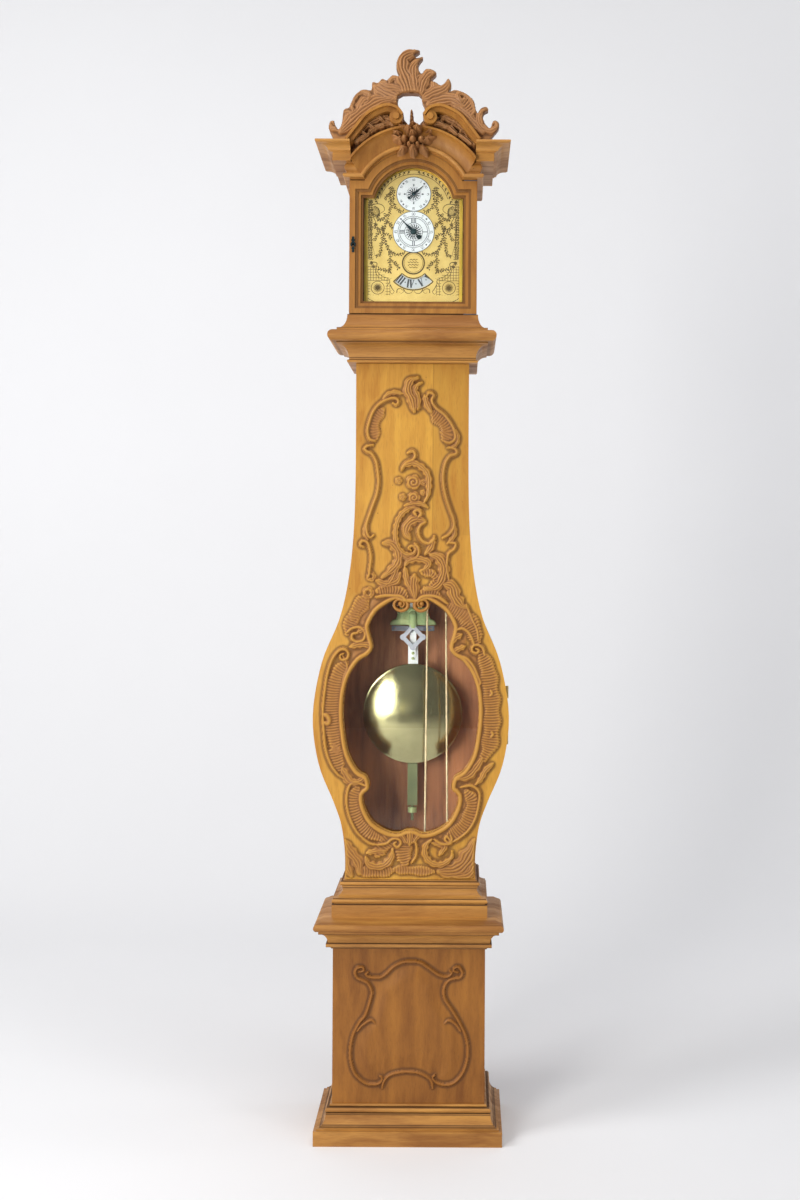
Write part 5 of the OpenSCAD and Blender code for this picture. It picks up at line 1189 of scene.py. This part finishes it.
def screws(name, centre, r, front):
    """Four screw heads that hold a ring."""
    verts, faces, around = [], [], 12
    for turn in (45, 135, 225, 315):
        x, z = polar(centre, r, turn)
        first = len(verts)
        for radius, out in ((1.9, -0.05), (1.9, 0.35), (1.4, 0.6)):
            for k in range(around):
                t = math.radians(30 * k)
                verts.append(((x + radius * math.cos(t)) * MM, front - out * MM, (z + radius * math.sin(t)) * MM))
        verts.append((x * MM, front - 0.68 * MM, z * MM))
        rim, tip = first + 2 * around, first + 3 * around
        faces += quads(3, around, first) + [(rim + k, rim + (k + 1) % around, tip) for k in range(around)]
    add_mesh(name, verts, faces, dark_steel, "case")


def finish_dial():
    """Screws in the rings, and domed caps over the middle of the hands."""
    screws("seconds_ring_screws", SECONDS, 28.7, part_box("seconds_ring")[0].y)
    screws("minute_ring_screws", MINUTES, 35.5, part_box("minute_ring")[0].y)
    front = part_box("seconds_hand")[0].y
    cap = lump(*SECONDS, 3.4, 3.4, 0, 2.0, front + 0.0003)
    add_carved("seconds_hand_cap", [cap], "seconds_hand", blued_steel)
    front = min(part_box("minute_hand")[0].y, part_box("cannon_wheel")[0].y)
    cap = lump(*MINUTES, 6.4, 6.4, 0, 2.6, front + 0.0004)
    add_carved("minute_hand_cap", [cap], "minute_work", blued_steel)


# Pendulum and cords

def make_yoke():
    """Patinated bell over the rod: two feet that swell out at the bar, and a tongue down the front."""
    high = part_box("yoke")[1]
    # Height, half width and depth of the bell, from its top down
    outline = [(1021, 26, 5), (1017, 29, 7), (1008, 31.5, 8.5), (1001, 33.5, 9), (997.5, 35.5, 9), (996, 40, 8),
               (993, 44, 7.5), (989, 46.2, 7), (985.6, 46.2, 6.5), (985.2, 45, 5.5)]
    path = dense([(w, z) for z, w, d in outline], 1.5)
    depth = np.interp(-path[:, 1], [-z for z, w, d in outline], [d for z, w, d in outline])
    back, turns = high.y / MM, 48
    verts = []
    for (w, z), d in zip(path, depth):
        for k in range(turns):
            a = 2 * math.pi * k / turns
            u = w * abs(math.cos(a)) ** 0.8 * math.copysign(1, math.cos(a))
            v = d * max(0.0, math.sin(a)) * (1 + 0.16 * math.cos(2 * math.pi * u / 23))
            verts.append((u * MM, (back - v) * MM, z * MM))
    faces = [(a, d, c, b) for a, b, c, d in quads(len(path), turns)]
    faces += [tuple(range(turns)), tuple(range(len(verts) - turns, len(verts)))[::-1]]
    tongue = dense([(0, 1013), (0, 1000), (0, 988), (0, 976.5)], 1.5)
    t = np.linspace(0, 1, len(tongue))
    wide = np.interp(t, [0, 0.15, 0.6, 0.9, 1], [5, 8.2, 7.8, 8.0, 4.5])
    deep = np.interp(t, [0, 0.2, 0.9, 1], [2, 5.2, 4.6, 2.2])
    parts = [(verts, faces), roll(tongue, wide, deep, (back - 8.4) * MM)]
    yoke = add_carved("yoke_bell", parts, "pendulum", green_brass)
    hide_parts("yoke")
    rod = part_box("pendulum_rod")[0].y
    rivets = [lump(0, z, 3.1, 3.1, 0, 1.9, rod + 0.0003) for z in (928.1, 917.6)]
    add_carved("rod_rivets", rivets, "pendulum", green_brass)


def make_bob():
    """Polished lens of two domes with a narrow rim, turned about an axis along Y."""
    low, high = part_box("bob")
    mid = (low + high) / 2
    radius, half, rim = (high.x - low.x) / 2, (high.y - low.y) / 2, 0.003
    dome = (radius ** 2 + (half - rim) ** 2) / (2 * (half - rim))
    front = []
    for k in range(25):
        r = (radius - 0.0012) * k / 24
        front.append((r, half - dome + math.sqrt(dome ** 2 - r ** 2)))
    front += [(radius - 0.0006, rim + 0.0004), (radius, rim - 0.0006)]
    profile = [(r, mid.y - y) for r, y in front] + [(r, mid.y + y) for r, y in reversed(front)]
    rings, turns = profile[1:-1], 128
    verts = [(mid.x, profile[0][1], mid.z)]
    for r, y in rings:
        for k in range(turns):
            a = 2 * math.pi * k / turns
            verts.append((mid.x + r * math.cos(a), y, mid.z + r * math.sin(a)))
    verts.append((mid.x, profile[-1][1], mid.z))
    tip = len(verts) - 1
    faces = [(0, 1 + (k + 1) % turns, 1 + k) for k in range(turns)] + quads(len(rings), turns, 1)
    faces += [(tip - turns + k, tip - turns + (k + 1) % turns, tip) for k in range(turns)]
    bob = add_mesh("bob_shell", verts, faces, bob_brass, "pendulum")
    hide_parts("bob")


def make_strands():
    """Two three-ply strands of gut from the pulley up to the movement."""
    low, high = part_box("weight_cord")
    y, r, top = (low.y + high.y) / 2, (high.y - low.y) / 2, high.z
    rows, around, lay = int((high.z - low.z) / 0.0013), 9, 0.03
    pulley, pulley_r, barrel, hook = 0.0495, 0.0235, 0.0336, 0.061
    verts, faces = [], []
    for x0, x1 in ((pulley - pulley_r, barrel), (pulley + pulley_r, hook)):
        faces += quads(rows + 1, around, len(verts))
        for i in range(rows + 1):
            t = i / rows
            z = low.z + (top - low.z) * t
            for k in range(around):
                a = 2 * math.pi * k / around
                lobe = r * (0.86 + 0.14 * math.cos(3 * (a - z * 2 * math.pi / lay)))
                verts.append((x0 + (x1 - x0) * t + lobe * math.cos(a), y + lobe * math.sin(a), z))
    strands = add_mesh("cord_strands", verts, faces, gut, "case")
    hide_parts("weight_cord")
    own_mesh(strands)


# Camera, room and light

def set_camera():
    """Eye level with the middle of the case and a little to its right, image plane level with the front."""
    data = bpy.data.cameras.new("camera")
    data.lens = 44.73
    data.shift_x = -0.0525
    data.shift_y = -0.0333
    camera = place_object("camera", data)
    camera.location = (0.10, -2.951, 1.117)
    camera.rotation_euler = (math.pi / 2, -0.00524, 0)
    bpy.context.scene.camera = camera


def make_room():
    """Pale paper sweep: floor, curve and wall in one sheet."""
    wall, bend, end, top = 3.0, 1.6, 7.0, 6.0
    profile = [(-end, 0.0), (wall - bend, 0.0)]
    for k in range(1, 13):
        a = math.pi / 2 * k / 12
        profile.append((wall - bend + bend * math.sin(a), bend - bend * math.cos(a)))
    profile.append((wall, top))
    verts = [(x, y, z) for y, z in profile for x in (-end, end)]
    faces = [(2 * i, 2 * i + 1, 2 * i + 3, 2 * i + 2) for i in range(len(profile) - 1)]
    material, r, shader, place = new_material("pale_paper", metallic=0.0, roughness=0.95)
    # From behind, the paper is clear, so that it never hides the back of the clock
    behind = r.put("ShaderNodeNewGeometry").outputs["Backfacing"]
    r.feed(shader, {"Base Color": r.mix(r.noise(place, 1.2), (0.88, 0.88, 0.895, 1), (0.85, 0.85, 0.865, 1)),
                    "Alpha": r.minus(1.0, behind)})
    sweep = smooth_mesh("paper_sweep", verts, faces, material)


def add_lamp(name, place, target, size, watts, colour=(1, 1, 1)):
    data = bpy.data.lights.new(name, "AREA")
    data.shape = "RECTANGLE"
    data.size, data.size_y = size
    data.energy = watts
    data.color = colour
    lamp = place_object(name, data)
    lamp.location = place
    lamp.rotation_euler = (Vector(target) - Vector(place)).to_track_quat("-Z", "Y").to_euler()


def set_light():
    world = bpy.data.worlds.new("studio")
    world.use_nodes = True
    sky = world.node_tree.nodes["Background"]
    sky.inputs[0].default_value = (0.62, 0.64, 0.67, 1)
    sky.inputs[1].default_value = 0.25
    bpy.context.scene.world = world
    add_lamp("softbox_left", (-1.55, -3.1, 1.25), (0, 0, 0.95), (0.9, 1.5), 72, (1.0, 0.98, 0.95))
    add_lamp("overhead", (0.5, -1.2, 4.2), (0.3, 0, 0.9), (2.6, 1.6), 52)
    add_lamp("fill_right", (2.6, -2.2, 1.5), (0, 0, 1.0), (0.7, 2.0), 12)
    add_lamp("wall_left", (-3.0, -1.5, 3.0), (-1.6, 3.0, 1.6), (2.0, 2.0), 106)
    add_lamp("wall_right", (3.4, 0.4, 3.4), (1.8, 3.0, 1.8), (2.0, 2.0), 27)
    bpy.context.scene.view_settings.view_transform = "Standard"


set_camera()
carve_door()
carve_volutes()
carve_bunch()
carve_crest()
carve_tympanum()
carve_panel()
engrave_plate()
engrave_seconds()
engrave_minutes()
engrave_hours()
finish_dial()
make_yoke()
make_bob()
make_strands()
make_room()
set_light()
